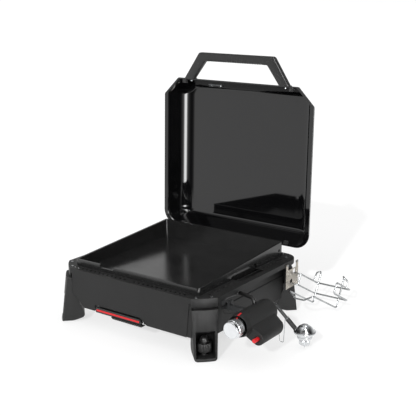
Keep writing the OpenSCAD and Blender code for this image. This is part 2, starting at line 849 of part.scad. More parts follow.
module lid_solid(inset, z0, lift = 0) {
    x = half_wall - inset;
    x0 = x + (rim_plane - z0) * tan(wall_slope);
    x1 = x - lid_taper;
    z1 = lid_top - inset;
    half_c = wall_corner / 2;
    difference() {
        intersection() {
            along_y(lid_y0 - 5, lid_y1 + 5) rounded_poly([[-x0, z0], [x0, z0], [x1, z1], [-x1, z1]],
                [0, 0, side_edge_r - inset, side_edge_r - inset]);
            along_x(-half_lid - 5, half_lid + 5) lid_side(inset, lift);
            translate([0, 0, z0]) linear_extrude(lid_h + 5)
                rounded_poly([[-x, lid_y0 - 5], [x, lid_y0 - 5], [x, lid_y1 - inset], [-x, lid_y1 - inset]],
                    [0, 0, lid_rear_r - inset, lid_rear_r - inset]);
        }
        // Faces that lean inwards across the front corners
        both_sides() translate([half_wall - half_c, lid_y0 + half_c, rim_plane]) rotate([0, 0, 45])
            translate([0, inset, 0]) rotate([-wall_slope, 0, 0]) box(-80, 80, -60, 0, -20, lid_h + 40);
    }
}

// Flat flange with a raised lip around its outer edge
module lid_rim() {
    translate([0, 0, rim_plane]) {
        linear_extrude(lid_t) difference() {
            lid_plan(half_lid + 1, -1);
            lid_plan(half_wall - 1.2, 1.2, wall_corner, 0);
        }
        linear_extrude(bead_h) difference() {
            lid_plan(half_lid + bead_w, -bead_w);
            lid_plan(half_lid - 0.2, 0.2);
        }
    }
}

// Frame on the lid's front wall: x across, y out of the wall, z up the wall
module on_front_wall(x, rise) {
    translate([x, lid_y0 + rise * sin(wall_slope), rim_plane + rise * cos(wall_slope)])
        rotate([-wall_slope, 0, 0]) children();
}

handle_screw_x = [-176, 176];

module lid_shell() {
    color("#26282a") opened() {
        difference() {
            union() {
                lid_solid(0, rim_plane);
                lid_rim();
            }
            lid_solid(lid_t, rim_plane - 0.5, 0.3);
            for (x = handle_screw_x, rise = [9])
                on_front_wall(x, rise) rod_y(0, 0, 2.2, -8, 8, $fn = 32);
            for (x = [badge_x - 18, badge_x + 18])
                on_front_wall(x, badge_rise) rod_y(0, 0, 1.6, -8, 8, $fn = 32);
        }
    }
}

module lid_handle() {
    foot = handle_w / 2;
    grip = grip_w / 2;
    inner_foot = foot - 36;
    inner_grip = grip - 23;
    y_in = handle_y1 + bar_w;
    color("#1d1d1d") opened() difference() {
        union() {
            translate([0, 0, handle_z0]) linear_extrude(bar_t) difference() {
                rounded_poly([[-foot, handle_y0], [-grip, handle_y1], [grip, handle_y1], [foot, handle_y0]],
                    [0, 12, 12, 0]);
                rounded_poly([[-inner_foot, handle_y0 + 1], [-inner_grip, y_in], [inner_grip, y_in],
                    [inner_foot, handle_y0 + 1]], [0, 8, 8, 0]);
                for (x = [-inner_grip + 14 : serration_pitch : inner_grip - 14])
                    translate([x, y_in - 0.6]) circle(3, $fn = 32);
            }
            // Feet that lie on the front wall above the bead
            both_sides() box(inner_foot, foot, handle_y0 - 1, lid_y0 + 16, rim_plane + bead_h + 0.3,
                handle_z1 + 5);
        }
        lid_solid(0, rim_plane - 10);
        for (x = handle_screw_x)
            on_front_wall(x, 9) rod_y(0, 0, 2, -12, 8, $fn = 32);
    }
}

module handle_screws() {
    color("#c9cbcc") opened() for (x = handle_screw_x) on_front_wall(x, 9) {
        rod_y(0, 0, 2, -10, lid_t + 0.1, $fn = 32);
        rod_y(0, 0, 4, lid_t, lid_t + 2.4, $fn = 48);
    }
}

// Blank plate on the lid's front, its studs and the washer plate inside
module badge_plate() {
    color("#b9bbbc") opened() on_front_wall(badge_x, badge_rise) {
        along_y(-2.1, -0.1) rounded_rect(-32, 32, -9, 9, 3);
        along_y(lid_t + 0.3, lid_t + 1.5) rounded_rect(-27, 27, -6, 6, 2);
        for (x = [-18, 18]) rod_y(x, 0, 1.5, -1, lid_t + 4, $fn = 32);
    }
}

module lid_bumpers() {
    color("#202020") opened() intersection() {
        for (x = [-200, 200]) {
            box(x - 7, x + 7, lid_y0 - 5, lid_y0 + 13, rim_plane - 0.25, rim_plane + 9);
            box(x - 7, x + 7, lid_y1 - 13, lid_y1 + 5, rim_plane - 0.25, rim_plane + 9);
        }
        lid_solid(lid_t, rim_plane - 0.5, 0.3);
    }
}

// Hinges: leaves on the body, brackets on the lid
leaf_xs = [-hinge_x, hinge_x];

module hinge_leaves() {
    color("#5c6061") for (x = leaf_xs) difference() {
        union() {
            box(x - hinge_half, x + hinge_half, back_y, back_y + 2, rim_z - 30, deck_z - 1);
            for (s = [-1, 1])
                along_x(x + s * 14 - 5, x + s * 14 + 5) {
                    translate([hinge_y, hinge_z]) circle(knuckle_r);
                    polygon([[back_y + 1, hinge_z + knuckle_r - 1], [back_y + 1, hinge_z - 26],
                        [back_y + 6, hinge_z - 26], [hinge_y + knuckle_r - 1, hinge_z - 3],
                        [hinge_y, hinge_z], [hinge_y, hinge_z + knuckle_r]]);
                }
        }
        rod_x(hinge_y, hinge_z, pin_d / 2, x - 40, x + 40);
        for (s = [-1, 1]) rod_y(x + s * 14, rim_z - 22, 2.2, back_y - 1, back_y + 3, $fn = 32);
    }
}

module hinge_brackets() {
    color("#5c6061") opened() for (x = leaf_xs) difference() {
        union() {
            // Strap over the rear wall and the rear edge of the top
            intersection() {
                along_x(x - hinge_half, x + hinge_half) lid_side(-strap_t, 0);
                box(x - 40, x + 40, strap_y0, lid_y1 + 12, rim_plane + bead_h + 0.5, lid_top + 8);
            }
            along_x(x - 8.6, x + 8.6) {
                translate([hinge_y, hinge_z]) circle(knuckle_r);
                polygon([[hinge_y - 6, hinge_z + 3], [hinge_y + 6, hinge_z + 3], [lid_y1 - 4, lid_top - 44],
                    [lid_y1 - 24, lid_top - 44], [lid_y1 - 8, rim_plane + bead_h + 0.5],
                    [lid_y1 + 4, rim_plane + bead_h + 0.5]]);
            }
        }
        along_x(x - 50, x + 50) lid_side(0, 0);
        box(x - 50, x + 50, lid_y1 - 20, lid_y1 + bead_w + 0.4, rim_plane - 2, rim_plane + bead_h + 0.4);
        rod_x(hinge_y, hinge_z, pin_d / 2 + run_gap, x - 50, x + 50);
    }
}

module hinge_pins() {
    color("#b4b6b7") for (x = leaf_xs) {
        rod_x(hinge_y, hinge_z, pin_d / 2, x - 21, x + 21);
    }
}

module hinge_screws() {
    color("#c9cbcc") opened() for (x = leaf_xs, s = [-1, 1])
        translate([x + s * 13, strap_y0 + 10, 0]) {
            translate([0, 0, lid_top - lid_t - 3]) cylinder(r = 3.4, h = 3, $fn = 48);
            translate([0, 0, lid_top + strap_t]) cylinder(r = 3.8, h = 2, $fn = 48);
        }
}

// Control pod
module web_2d(r1, r2) {
    a = [pod_x, pod_z];
    b = [lobe_x, lobe_z];
    d = norm(b - a);
    e = unit(b - a);
    q = [-e[1], e[0]];
    k = (r1 - r2) / d;
    h = sqrt(1 - k * k);
    polygon([a + r1 * (k * e + h * q), b + r2 * (k * e + h * q), b, b + r2 * (k * e - h * q),
        a + r1 * (k * e - h * q), a]);
    translate(b) circle(r2);
    translate(a) circle(r1);
}

module pod_front() {
    color("#2c2d2d") difference() {
        union() {
            translate([pod_x, 0, pod_z]) rotate([-90, 0, 0]) cylinder(r1 = pod_r - 3, r2 = pod_r, h = bezel_l);
            along_y(bezel_l, flange_y) web_2d(pod_r, lobe_r);
        }
        rod_y(pod_x, pod_z, pod_r - 4.5, -1, 12);
        rod_y(pod_x, pod_z, stem_r + 1, 0, flange_y + 1, $fn = 48);
        rod_y(pod_x, pod_z, pod_r - 5, bezel_l + 3, flange_y + 1);
        rod_y(lobe_x, lobe_z, button_d / 2 + 3, bezel_l - 1, bezel_l + 3);
        rod_y(lobe_x, lobe_z, button_d / 2 + run_gap, bezel_l - 1, flange_y + 1, $fn = 64);
        rod_y(lobe_x, lobe_z, lobe_r - 4, bezel_l + 8, flange_y + 1);
    }
}

module pod_rear() {
    color("#2c2d2d") difference() {
        union() {
            rod_y(pod_x, pod_z, pod_r, flange_y, pod_y1 - 8);
            translate([pod_x, pod_y1 - 8, pod_z]) rotate([-90, 0, 0]) rotate_extrude() {
                square([pod_r - 8, 8]);
                intersection() {
                    translate([pod_r - 8, 0]) circle(8);
                    translate([pod_r - 9, 0]) square(9);
                }
            }
            difference() {
                along_y(flange_y, pod_y1 - 6) web_2d(pod_r - 6, lobe_r - 2);
                along_x(pod_x, lobe_x + 40) polygon([[lobe_y1, lobe_z - 40], [lobe_y1, lobe_z - lobe_r + 2],
                    [pod_y1 - 6, pod_z + 24], [pod_y1 + 20, pod_z + 24], [pod_y1 + 20, lobe_z - 40]]);
            }
            rod_y(outlet_x, outlet_z, 9, pod_y1 - 6, pod_y1 + 5);
        }
        rod_y(pod_x, pod_z, pod_r - pod_t, flange_y - 1, pod_y1 - 8);
        rod_y(lobe_x, lobe_z, lobe_r - 4.5, flange_y - 1, lobe_y1 - 5);
        rod_y(outlet_x, outlet_z, pipe_d / 2, pod_y1 - 12, pod_y1 + 12, $fn = 64);
        translate([pod_x - 14, 100, pod_z]) cylinder(r = tube_d / 2 + 0.5, h = 60, $fn = 64);
    }
}

module pod_arm() {
    color("#2f3233") difference() {
        union() {
            box(212, pod_x, arm_y0, arm_y1, arm_z0, arm_z1);
            box(237, 241, arm_y0 - 4, arm_y1 + 4, arm_z0, deck_under);
            box(240, 262, arm_y0 - 4, arm_y1 + 4, deck_under - 4, deck_under);
        }
        rod_y(pod_x, pod_z, pod_r, 0, 200);
        tub_block(0);
    }
}

module arm_clip() {
    color("#1c1d1d") {
        difference() {
            box(268, 276, arm_y0 - 2, arm_y1 + 2, arm_z0 - 2, arm_z1 + 12);
            box(267, 277, arm_y0, arm_y1, arm_z0, arm_z1);
        }
        rod_x(80, arm_z1 + 6, 3, 276, 279, $fn = 48);
    }
}

module gas_tube() {
    hx = pod_x - 14;
    color("#232424") wire([[255, 60.05, tube_z], [255, 70, tube_z], [250, 96, tube_z], [258, 142, tube_z],
        [hx, 100, tube_z + 11], [hx, 100, pod_z + 21.5]], tube_d / 2, 11);
}

module igniter_lead() {
    color("#4a4a48") wire([[pod_x - pod_r, 98, pod_z - 4.7], [292, 98, 106], [264, 64, 108],
        [262, 50, 136.4]], 1.2, 8);
}

module gas_valve() {
    color("#b08d4a") {
        difference() {
            rod_y(pod_x, pod_z, 13, 30, 92);
            rod_y(pod_x, pod_z, stem_r + run_gap, 29, 62, $fn = 64);
        }
        difference() {
            rod_y(pod_x, pod_z, pod_r - 5 - 0.1, 26, 30);
            rod_y(pod_x, pod_z, 10, 25, 31);
        }
        rod_y(outlet_x, outlet_z, 4.5, 82, pod_y1 - 4.2);
        box(pod_x - 19, pod_x, 84, 105, pod_z - 4, pod_z + 4);
        translate([pod_x - 14, 100, pod_z]) cylinder(r = 4, h = 21.3, $fn = 48);
    }
}

// Return spring's collar; it moves in and out with the stem
module spring_collar() {
    color("#a7a9aa") difference() {
        rod_y(pod_x, pod_z, 8, collar_y - 2, collar_y, $fn = 64);
        rod_y(pod_x, pod_z, stem_r + run_gap, collar_y - 3, collar_y + 1, $fn = 64);
    }
}

module valve_stem() {
    color("#c2c4c5") {
        difference() {
            rod_y(pod_x, pod_z, stem_r, -knob_l + 10, 56, $fn = 64);
            box(pod_x - 5, pod_x + 5, -knob_l, 4, pod_z + 2.5, pod_z + 6);
        }
        rod_y(pod_x, pod_z, stem_r + 2, collar_y + 0.05, collar_y + 1.5, $fn = 64);
    }
}

module knob() {
    color("#8f9294") difference() {
        union() {
            rod_y(pod_x, pod_z, knob_r, -knob_l + 9, 4);
            translate([pod_x, -knob_l + 2, pod_z]) rotate([-90, 0, 0]) cylinder(r1 = knob_r - 3, r2 = knob_r - 1.5, h = 7);
        }
        rod_y(pod_x, pod_z, knob_r - 3, -knob_l + 14, 5);
        difference() {
            rod_y(pod_x, pod_z, stem_r, -knob_l + 10, 10, $fn = 64);
            box(pod_x - 5, pod_x + 5, -knob_l, 4, pod_z + 2.5, pod_z + 6);
        }
    }
    color("#8f9294") difference() {
        rod_y(pod_x, pod_z, 8, -knob_l + 13, 2);
        difference() {
            rod_y(pod_x, pod_z, stem_r, -knob_l + 10, 10, $fn = 64);
            box(pod_x - 5, pod_x + 5, -knob_l, 4, pod_z + 2.5, pod_z + 6);
        }
    }
}

module knob_face() {
    color("#e6e8ea") rod_y(pod_x, pod_z, knob_r - 3, -knob_l, -knob_l + 2);
}

module knob_marks() {
    color("#d8282d") intersection() {
        box(pod_x - 1.6, pod_x + 1.6, -7, -1, pod_z, pod_z + 40);
        difference() {
            rod_y(pod_x, pod_z, knob_r + 0.5, -9, 0);
            rod_y(pod_x, pod_z, knob_r, -10, 1);
        }
    }
}

module bezel_marks() {
    color("#d8282d") intersection() {
        box(pod_x - 2.4, pod_x + 2.4, 0.5, 14.5, pod_z, pod_z + 40);
        difference() {
            translate([pod_x, 0, pod_z]) rotate([-90, 0, 0]) cylinder(r1 = pod_r - 2.5, r2 = pod_r + 0.5, h = bezel_l);
            translate([pod_x, 0, pod_z]) rotate([-90, 0, 0]) cylinder(r1 = pod_r - 3, r2 = pod_r, h = bezel_l);
        }
    }
}

module igniter_body() {
    color("#2a2a2a") difference() {
        rod_y(lobe_x, lobe_z, lobe_r - 4.5, flange_y + 1, lobe_y1 - 5);
        rod_y(lobe_x, lobe_z, button_d / 2 + run_gap, flange_y, flange_y + 24, $fn = 64);
    }
}

module igniter_button() {
    color("#d8282d") {
        rod_y(lobe_x, lobe_z, button_d / 2, -2, flange_y + 16, $fn = 64);
    }
}

// Stiff gas pipe to the regulator, and the sleeve on its lower end
module feed_pipe() {
    d = unit(pipe_e - pipe_k);
    color("#3a3d3e") difference() {
        wire([[outlet_x, pod_y1 - 4, outlet_z], [outlet_x, 160, outlet_z], pipe_k, pipe_e + d * 6], pipe_d / 2, 12);
        dome_solid();
    }
}

module pipe_sleeve() {
    d = unit(pipe_e - pipe_k);
    color("#161616") difference() {
        rod(pipe_e - d * 36, pipe_e + d * 4, 6.5);
        rod(pipe_e - d * 60, pipe_e + d * 20, pipe_d / 2 + 0.03);
        dome_solid();
    }
}

module dome_solid() {
    h = dome_top_z - dome_z1;
    r = dome_rim_d / 2;
    s = (r * r + h * h) / (2 * h);
    translate([reg_x, reg_y, dome_z0 - 1]) cylinder(r = r, h = dome_z1 - dome_z0 + 1);
    translate([reg_x, reg_y, dome_z1]) rotate_extrude() intersection() {
        translate([0, h - s]) circle(s, $fn = 180);
        square([r, h]);
    }
}

module regulator_dome() {
    h = dome_top_z - dome_z1;
    r = dome_rim_d / 2;
    s = (r * r + h * h) / (2 * h);
    color("#d9dbdc") {
        translate([reg_x, reg_y, dome_z0]) cylinder(r = r, h = dome_z1 - dome_z0);
        translate([reg_x, reg_y, dome_z1]) rotate_extrude() intersection() {
            translate([0, h - s]) circle(s, $fn = 180);
            square([r, h]);
        }
        translate([reg_x, reg_y, dome_top_z - 2]) cylinder(r = 9, h = 2.6);
    }
}

module regulator_body() {
    color("#d9dbdc") {
        translate([reg_x, reg_y, nut_z1 + 1]) cylinder(d = reg_d, h = reg_body_z1 - nut_z1 - 1);
        // Relief boss on the side that faces the front right
        translate([reg_x, reg_y, (nut_z1 + reg_body_z1) / 2]) rotate([0, 90, -35]) cylinder(r = 6.5, h = reg_d / 2 + 3);
        difference() {
            translate([reg_x, reg_y, nut_z0]) cylinder(d = nut_d, h = nut_z1 - nut_z0 + 1.5);
            translate([reg_x, reg_y, nut_z0 - 1]) cylinder(d = nut_bore_d, h = nut_z1 - nut_z0);
            for (k = [0 : 35]) rotate_about(k * 10)
                translate([nut_d / 2 + 0.5, 0, nut_z0 - 1]) cylinder(r = 0.9, h = nut_z1 - nut_z0, $fn = 16);
        }
    }
}

module rotate_about(a) {
    translate([reg_x, reg_y, 0]) rotate([0, 0, a]) children();
}

// Wire match holder, loose on the pipe's sleeve
holder_d = unit(pipe_e - pipe_k);
holder_p = pipe_e - holder_d * 38.5;

module match_holder() {
    ring_r = pipe_d / 2 + 0.3 + match_wire_d / 2;
    az = atan2(holder_d[1], holder_d[0]);
    color("#9c9fa0") {
        translate(holder_p) rotate([0, acos(holder_d[2]), az]) rotate_extrude() translate([ring_r, 0])
            circle(match_wire_d / 2, $fn = 24);
        low = holder_p + ring_r * unit([0, 0, -1] + holder_d * holder_d[2]);
        wire([low, low + [-2, -3, -68], low + [-14, -3, -66], low + [-16, -3, -48]],
            match_wire_d / 2 - 0.08, 3);
    }
}

// Keyhole plate that carries the cylinder cradle
key_pts = [[hook_y, hook_z], [hook_y + rail_gap * rail_c[1], hook_z + rail_gap * rail_c[2]]];

module cylinder_bracket() {
    y0 = 374;
    y1 = 445;
    color("#a9a49c") {
        difference() {
            box(bracket_x0, bracket_x1, y0, y1, 86, 144);
            for (k = key_pts) {
                rod_x(k[0], k[1], wire_r + 0.15, bracket_x0 - 1, bracket_x1 + 1, $fn = 64);
                rod_x(k[0] - 5, k[1] + 9, 7, bracket_x0 - 1, bracket_x1 + 1, $fn = 64);
                along_x(bracket_x0 - 1, bracket_x1 + 1) polygon([[k[0] - wire_r - 0.15, k[1]], [k[0] + wire_r + 0.15, k[1]],
                    [k[0] + wire_r - 3, k[1] + 9], [k[0] - wire_r - 6, k[1] + 9]]);
            }
        }
        for (y = [y0, y1 - 12]) {
            box(bracket_x0, bracket_x1, y, y + 12, 143, rim_z + 8);
            box(half_body, bracket_x1, y, y + 12, rim_z + 2, rim_z + 8);
        }
    }
}

module bracket_screws() {
    color("#c9cbcc") for (y = [380, 439])
        rod_x(y, rim_z + 5, 3, bracket_x1, bracket_x1 + 2, $fn = 48);
}

// One closed wire with two hooks, and one bent floor wire
module cylinder_cradle() {
    f1 = [rail_x, hook_y, hook_z];
    f2 = f1 + rail_gap * rail_c;
    o1 = f1 - cradle_l * rail_n;
    o2 = f2 - cradle_l * rail_n;
    ex = [cradle_w, 0, 0];
    near = cradle_l - 14;
    k1 = [bracket_x0 - 1.2, f1[1], f1[2]];
    k2 = [bracket_x0 - 1.2, f2[1], f2[2]];
    e1 = o1 + ex + near * rail_n;
    e2 = o2 + ex + near * rail_n;
    lo = o1 + 25.4 * rail_n;
    up = lo + [18, 0, 0] - 31.4 * rail_c + 26.6 * rail_n;
    dn = up - 26.6 * rail_n + 96.8 * rail_c;
    fr = up - 26.6 * rail_n + 96.8 * rail_c + floor_rod_l * rail_n;
    span = cradle_w - 36;
    mid = fr + [span / 2, 0, 0] + 17 * rail_c;
    color("#a3a5a6") {
        wire([k1, f1, o1, o1 + ex, e1, e2, o2 + ex, o2, f2, k2], wire_r, 8);
        rod(f1 + rail_c * 2, f2 - rail_c * 2, wire_r, $fn = 48);
        wire([lo, lo + [4, 0, 0] - 22 * rail_c + 2 * rail_n, up, up - 26.6 * rail_n, dn, fr,
            mid - [14, 0, 0], mid + [14, 0, 0], fr + [span, 0, 0], dn + [span, 0, 0],
            up - 26.6 * rail_n + [span, 0, 0], up + [span, 0, 0],
            lo + [cradle_w - 4, 0, 0] - 22 * rail_c + 2 * rail_n, lo + ex], wire_r, 7);
    }
}

place() body_shell();
place() burner_tub();
place() heat_shield();
place() burner();
place() burner_brackets();
place() gas_manifold();
place() electrode();
place() tray_runners();
place() griddle_plate();
place() grease_tray();
place() tray_handle();
place() tray_stripe();
place() leg_at(0);  // leg_front_right
place() leg_at(1);  // leg_front_left
place() leg_at(2);  // leg_rear_right
place() leg_at(3);  // leg_rear_left
place() leg_screws();
place() level_knob(0);  // level_knob_fr
place() level_knob(1);  // level_knob_fl
place() level_knob(2);  // level_knob_rr
place() level_knob(3);  // level_knob_rl
place() foot_pad(0);  // foot_pad_fr
place() foot_pad(1);  // foot_pad_fl
place() foot_pad(2);  // foot_pad_rr
place() foot_pad(3);  // foot_pad_rl
place() lid_shell();
place() lid_handle();
place() handle_screws();
place() badge_plate();
place() lid_bumpers();
place() hinge_leaves();
place() hinge_brackets();
place() hinge_pins();
place() hinge_screws();
place() pod_front();
place() pod_rear();
place() pod_arm();
place() arm_clip();
place() gas_tube();
place() igniter_lead();
place() gas_valve();
place() spring_collar();
place() valve_stem();
place() knob();
place() knob_face();
place() knob_marks();
place() bezel_marks();
place() igniter_body();
place() igniter_button();
place() feed_pipe();
place() pipe_sleeve();
place() regulator_body();
place() regulator_dome();
place() match_holder();
place() cylinder_bracket();
place() bracket_screws();
place() cylinder_cradle();
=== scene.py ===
"""Looks of a tabletop gas griddle: finishes for its CAD nodes, finer pieces that stand for some of
them, a white studio floor with soft light, and the camera of the photograph."""

from __future__ import annotations

import json
import logging
import math
from dataclasses import dataclass, field
from enum import Enum
from typing import Callable, Mapping, Sequence

import bmesh
import bpy
import numpy as np
from mathutils import Matrix, Vector
from numpy.typing import NDArray


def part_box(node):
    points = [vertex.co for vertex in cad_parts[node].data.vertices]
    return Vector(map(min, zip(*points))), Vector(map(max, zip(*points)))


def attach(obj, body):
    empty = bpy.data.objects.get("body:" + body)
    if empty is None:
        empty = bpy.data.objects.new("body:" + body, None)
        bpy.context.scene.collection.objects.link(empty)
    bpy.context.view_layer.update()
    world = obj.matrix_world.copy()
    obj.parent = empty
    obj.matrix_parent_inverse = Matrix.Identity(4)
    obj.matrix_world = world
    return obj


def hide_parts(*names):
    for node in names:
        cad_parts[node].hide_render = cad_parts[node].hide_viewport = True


LOG = logging.getLogger("griddle")
Array = NDArray[np.float64]
MM = 0.001
WELD_M = 2e-6
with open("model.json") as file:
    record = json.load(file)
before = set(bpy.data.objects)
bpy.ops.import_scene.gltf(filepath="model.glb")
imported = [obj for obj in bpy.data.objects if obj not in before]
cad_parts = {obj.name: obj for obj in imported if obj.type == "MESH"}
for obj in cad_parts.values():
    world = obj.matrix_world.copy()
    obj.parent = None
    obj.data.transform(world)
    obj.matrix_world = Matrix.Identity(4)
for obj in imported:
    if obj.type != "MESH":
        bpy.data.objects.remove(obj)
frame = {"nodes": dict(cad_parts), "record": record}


class Texture(Enum):
    """What the fine pattern of a surface is: even grain, or the crystals of a hot zinc or aluminium bath."""

    GRAINED = "grained"
    SPANGLED = "spangled"


def linear(hex_colour: str) -> tuple[float, float, float, float]:
    """Turns an sRGB hex colour into linear light.

    Args:
        hex_colour: six hex digits, with or without a leading #.

    Returns:
        Linear red, green, blue and an alpha of 1.
    """
    digits = hex_colour.lstrip("#")
    parts = [int(digits[i : i + 2], 16) / 255 for i in (0, 2, 4)]
    red, green, blue = [c / 12.92 if c <= 0.04045 else ((c + 0.055) / 1.055) ** 2.4 for c in parts]
    return red, green, blue, 1.0


def put(tree: bpy.types.NodeTree, kind: str, settings: Mapping[str, object],
        links: Mapping[str, bpy.types.NodeSocket]) -> bpy.types.Node:
    """Adds a node with its settings and links.

    Args:
        tree: the node tree that gets the node.
        kind: the node's type name, without ShaderNode.
        settings: values of its sockets or properties by name, properties that change its sockets first.
        links: sockets that feed its inputs, by input name.

    Returns:
        The new node.
    """
    node = tree.nodes.new("ShaderNode" + kind)
    for name, value in settings.items():
        if name in node.inputs:
            node.inputs[name].default_value = value
        else:
            setattr(node, name, value)
    for name, socket in links.items():
        tree.links.new(socket, node.inputs[name])
    return node


def blank(owner: bpy.types.Material | bpy.types.World) -> bpy.types.NodeTree:
    """Gives a material or world an empty node tree and returns it."""
    owner.use_nodes = True
    owner.node_tree.nodes.clear()
    return owner.node_tree


def set_greys(ramp: bpy.types.Node, stops: Sequence[tuple[float, float]]) -> None:
    """Sets a colour ramp's stops from pairs of a place and a grey level, both from 0 to 1."""
    elements = ramp.color_ramp.elements
    for k, (place, level) in enumerate(stops):
        stop = elements[k] if k < 2 else elements.new(place)
        stop.position = place
        stop.color = (level, level, level, 1.0)


@dataclass(frozen=True)
class Finish:
    """One real surface finish, drawn with nodes on Object coordinates.

    colour and second are the two ends of its colour variation, grain_mm the size of the fine
    pattern and patch_mm that of the slow one, relief_mm the height of the fine pattern, along
    how the fine pattern is squeezed, so that a small value draws it out as brushing does.
    """

    name: str
    colour: str
    second: str
    roughness: float
    rougher: float
    grain_mm: float
    patch_mm: float
    relief_mm: float
    metallic: float = 0.0
    ior: float = 1.5
    texture: Texture = Texture.GRAINED
    along: tuple[float, float, float] = (1.0, 1.0, 1.0)
    grain_share: float = 0.4
    varies: tuple[float, float] = (0.5, 0.95)

    def build(self) -> bpy.types.Material:
        """Makes the material: slow patches tint it and change its roughness, fine grain lifts it."""
        material = bpy.data.materials.new(self.name)
        tree = blank(material)
        place = put(tree, "TexCoord", {}, {}).outputs["Object"]
        stretched = put(tree, "Mapping", {"Scale": self.along}, {"Vector": place}).outputs["Vector"]
        fine = 1 / (self.grain_mm * MM)
        grain = put(tree, "TexNoise", {"Scale": fine, "Detail": 3.0, "Roughness": 0.55},
                    {"Vector": stretched})
        patches = put(tree, "TexNoise", {"Scale": 1 / (self.patch_mm * MM), "Detail": 4.0, "Roughness": 0.6},
                      {"Vector": place})
        pattern = grain.outputs["Fac"]
        if self.texture is Texture.SPANGLED:
            crystals = put(tree, "TexVoronoi", {"Scale": fine}, {"Vector": place})
            pattern = put(tree, "RGBToBW", {}, {"Color": crystals.outputs["Color"]}).outputs["Val"]
        mixed = put(tree, "Math", {"operation": "MULTIPLY_ADD", "Value_001": self.grain_share},
                    {"Value": pattern, "Value_002": patches.outputs["Fac"]}).outputs["Value"]
        ramp = put(tree, "ValToRGB", {}, {"Fac": mixed})
        for stop, at, colour in zip(ramp.color_ramp.elements, self.varies, (self.colour, self.second)):
            stop.position = at
            stop.color = linear(colour)
        rough = put(tree, "MapRange", {"From Min": self.varies[0], "From Max": self.varies[1],
                                       "To Min": self.roughness, "To Max": self.rougher}, {"Value": mixed})
        bump = put(tree, "Bump", {"Strength": 1.0, "Distance": self.relief_mm * MM},
                   {"Height": grain.outputs["Fac"]})
        shader = put(tree, "BsdfPrincipled", {"Metallic": self.metallic, "IOR": self.ior},
                     {"Base Color": ramp.outputs["Color"], "Roughness": rough.outputs["Result"],
                      "Normal": bump.outputs["Normal"]})
        put(tree, "OutputMaterial", {}, {"Surface": shader.outputs["BSDF"]})
        return material


FINISHES: dict[str, Finish] = {
    # Powder coat on sheet steel, baked: satin, with a fine orange peel
    "body_paint": Finish("powder_coated_steel", "1d1d1d", "232323", 0.45, 0.55, 1.6, 60.0, 0.02, ior=1.33),
    # Vitreous enamel on the lid: deep gloss black with a slow ripple
    "lid_paint": Finish("gloss_enamel", "080809", "0b0b0c", 0.035, 0.05, 9.0, 120.0, 0.002, ior=1.55),
    # Carbon steel blackened by oil and heat
    "plate_steel": Finish("seasoned_steel", "191919", "212121", 0.16, 0.22, 2.2, 45.0, 0.002, ior=1.55),
    # Glass filled nylon from a spark eroded mould
    "black_plastic": Finish("grained_nylon", "1b1b1b", "232323", 0.5, 0.6, 0.9, 50.0, 0.05, ior=1.36),
    "dark_plastic": Finish("smooth_nylon", "161616", "1e1e1e", 0.36, 0.46, 1.1, 40.0, 0.03, ior=1.52),
    "red_plastic": Finish("red_abs", "c81f24", "bb1a20", 0.3, 0.38, 4.0, 20.0, 0.005, ior=1.42),
    "black_rubber": Finish("epdm_rubber", "161616", "202020", 0.6, 0.75, 0.8, 15.0, 0.04, ior=1.52),
    "chrome": Finish("chrome_plate", "eceef0", "e2e4e6", 0.05, 0.09, 1.5, 14.0, 0.0008, metallic=1.0),
    # Die casting under chrome: softer mirror than the knob's turned brass
    "cast_chrome": Finish("chromed_die_casting", "dfe1e3", "d2d4d6", 0.17, 0.24, 3.0, 14.0, 0.003,
                          metallic=1.0),
    "stainless": Finish("brushed_stainless", "b9b3a9", "a49e94", 0.24, 0.34, 1.2, 25.0, 0.012,
                        metallic=1.0, along=(1.0, 0.08, 1.0)),
    "zinc_steel": Finish("zinc_plated_steel", "b9bbbc", "989b9d", 0.24, 0.38, 2.5, 20.0, 0.01,
                         metallic=1.0, texture=Texture.SPANGLED),
    "aluminised_steel": Finish("aluminised_steel", "a8aaab", "8c8e8f", 0.35, 0.5, 5.0, 40.0, 0.01,
                               metallic=1.0, texture=Texture.SPANGLED),
    "dark_steel": Finish("black_coated_steel", "2b2c2d", "363738", 0.4, 0.52, 1.4, 30.0, 0.03),
    "brass": Finish("machined_brass", "c9a35a", "b58f48", 0.2, 0.32, 0.8, 15.0, 0.01, metallic=1.0),
    "ceramic": Finish("glazed_ceramic", "e9e6dc", "dcd8cc", 0.18, 0.3, 1.5, 12.0, 0.01, ior=1.55),
}


@dataclass(frozen=True)
class Camera:
    """The photograph's view, solved from the griddle's straight edges."""

    place_mm: tuple[float, float, float] = (1520.2, -1770.6, 993.5)
    yaw_deg: float = 35.56
    pitch_deg: float = 14.82
    focal_px: float = 873.6
    picture_px: float = 416.0
    sensor_mm: float = 36.0

    def build(self, origin: Array) -> bpy.types.Object:
        """Adds the camera and makes it the scene's own.

        Args:
            origin: the griddle frame's zero in metres.

        Returns:
            The camera object.
        """
        data = bpy.data.cameras.new("camera")
        data.sensor_width = self.sensor_mm
        data.lens = self.focal_px / self.picture_px * self.sensor_mm
        data.clip_end = 200.0
        camera = bpy.data.objects.new("camera", data)
        camera.location = tuple(np.array(self.place_mm) * MM + origin)
        camera.rotation_euler = (math.radians(90 - self.pitch_deg), 0.0, math.radians(self.yaw_deg))
        bpy.context.scene.collection.objects.link(camera)
        bpy.context.scene.camera = camera
        return camera


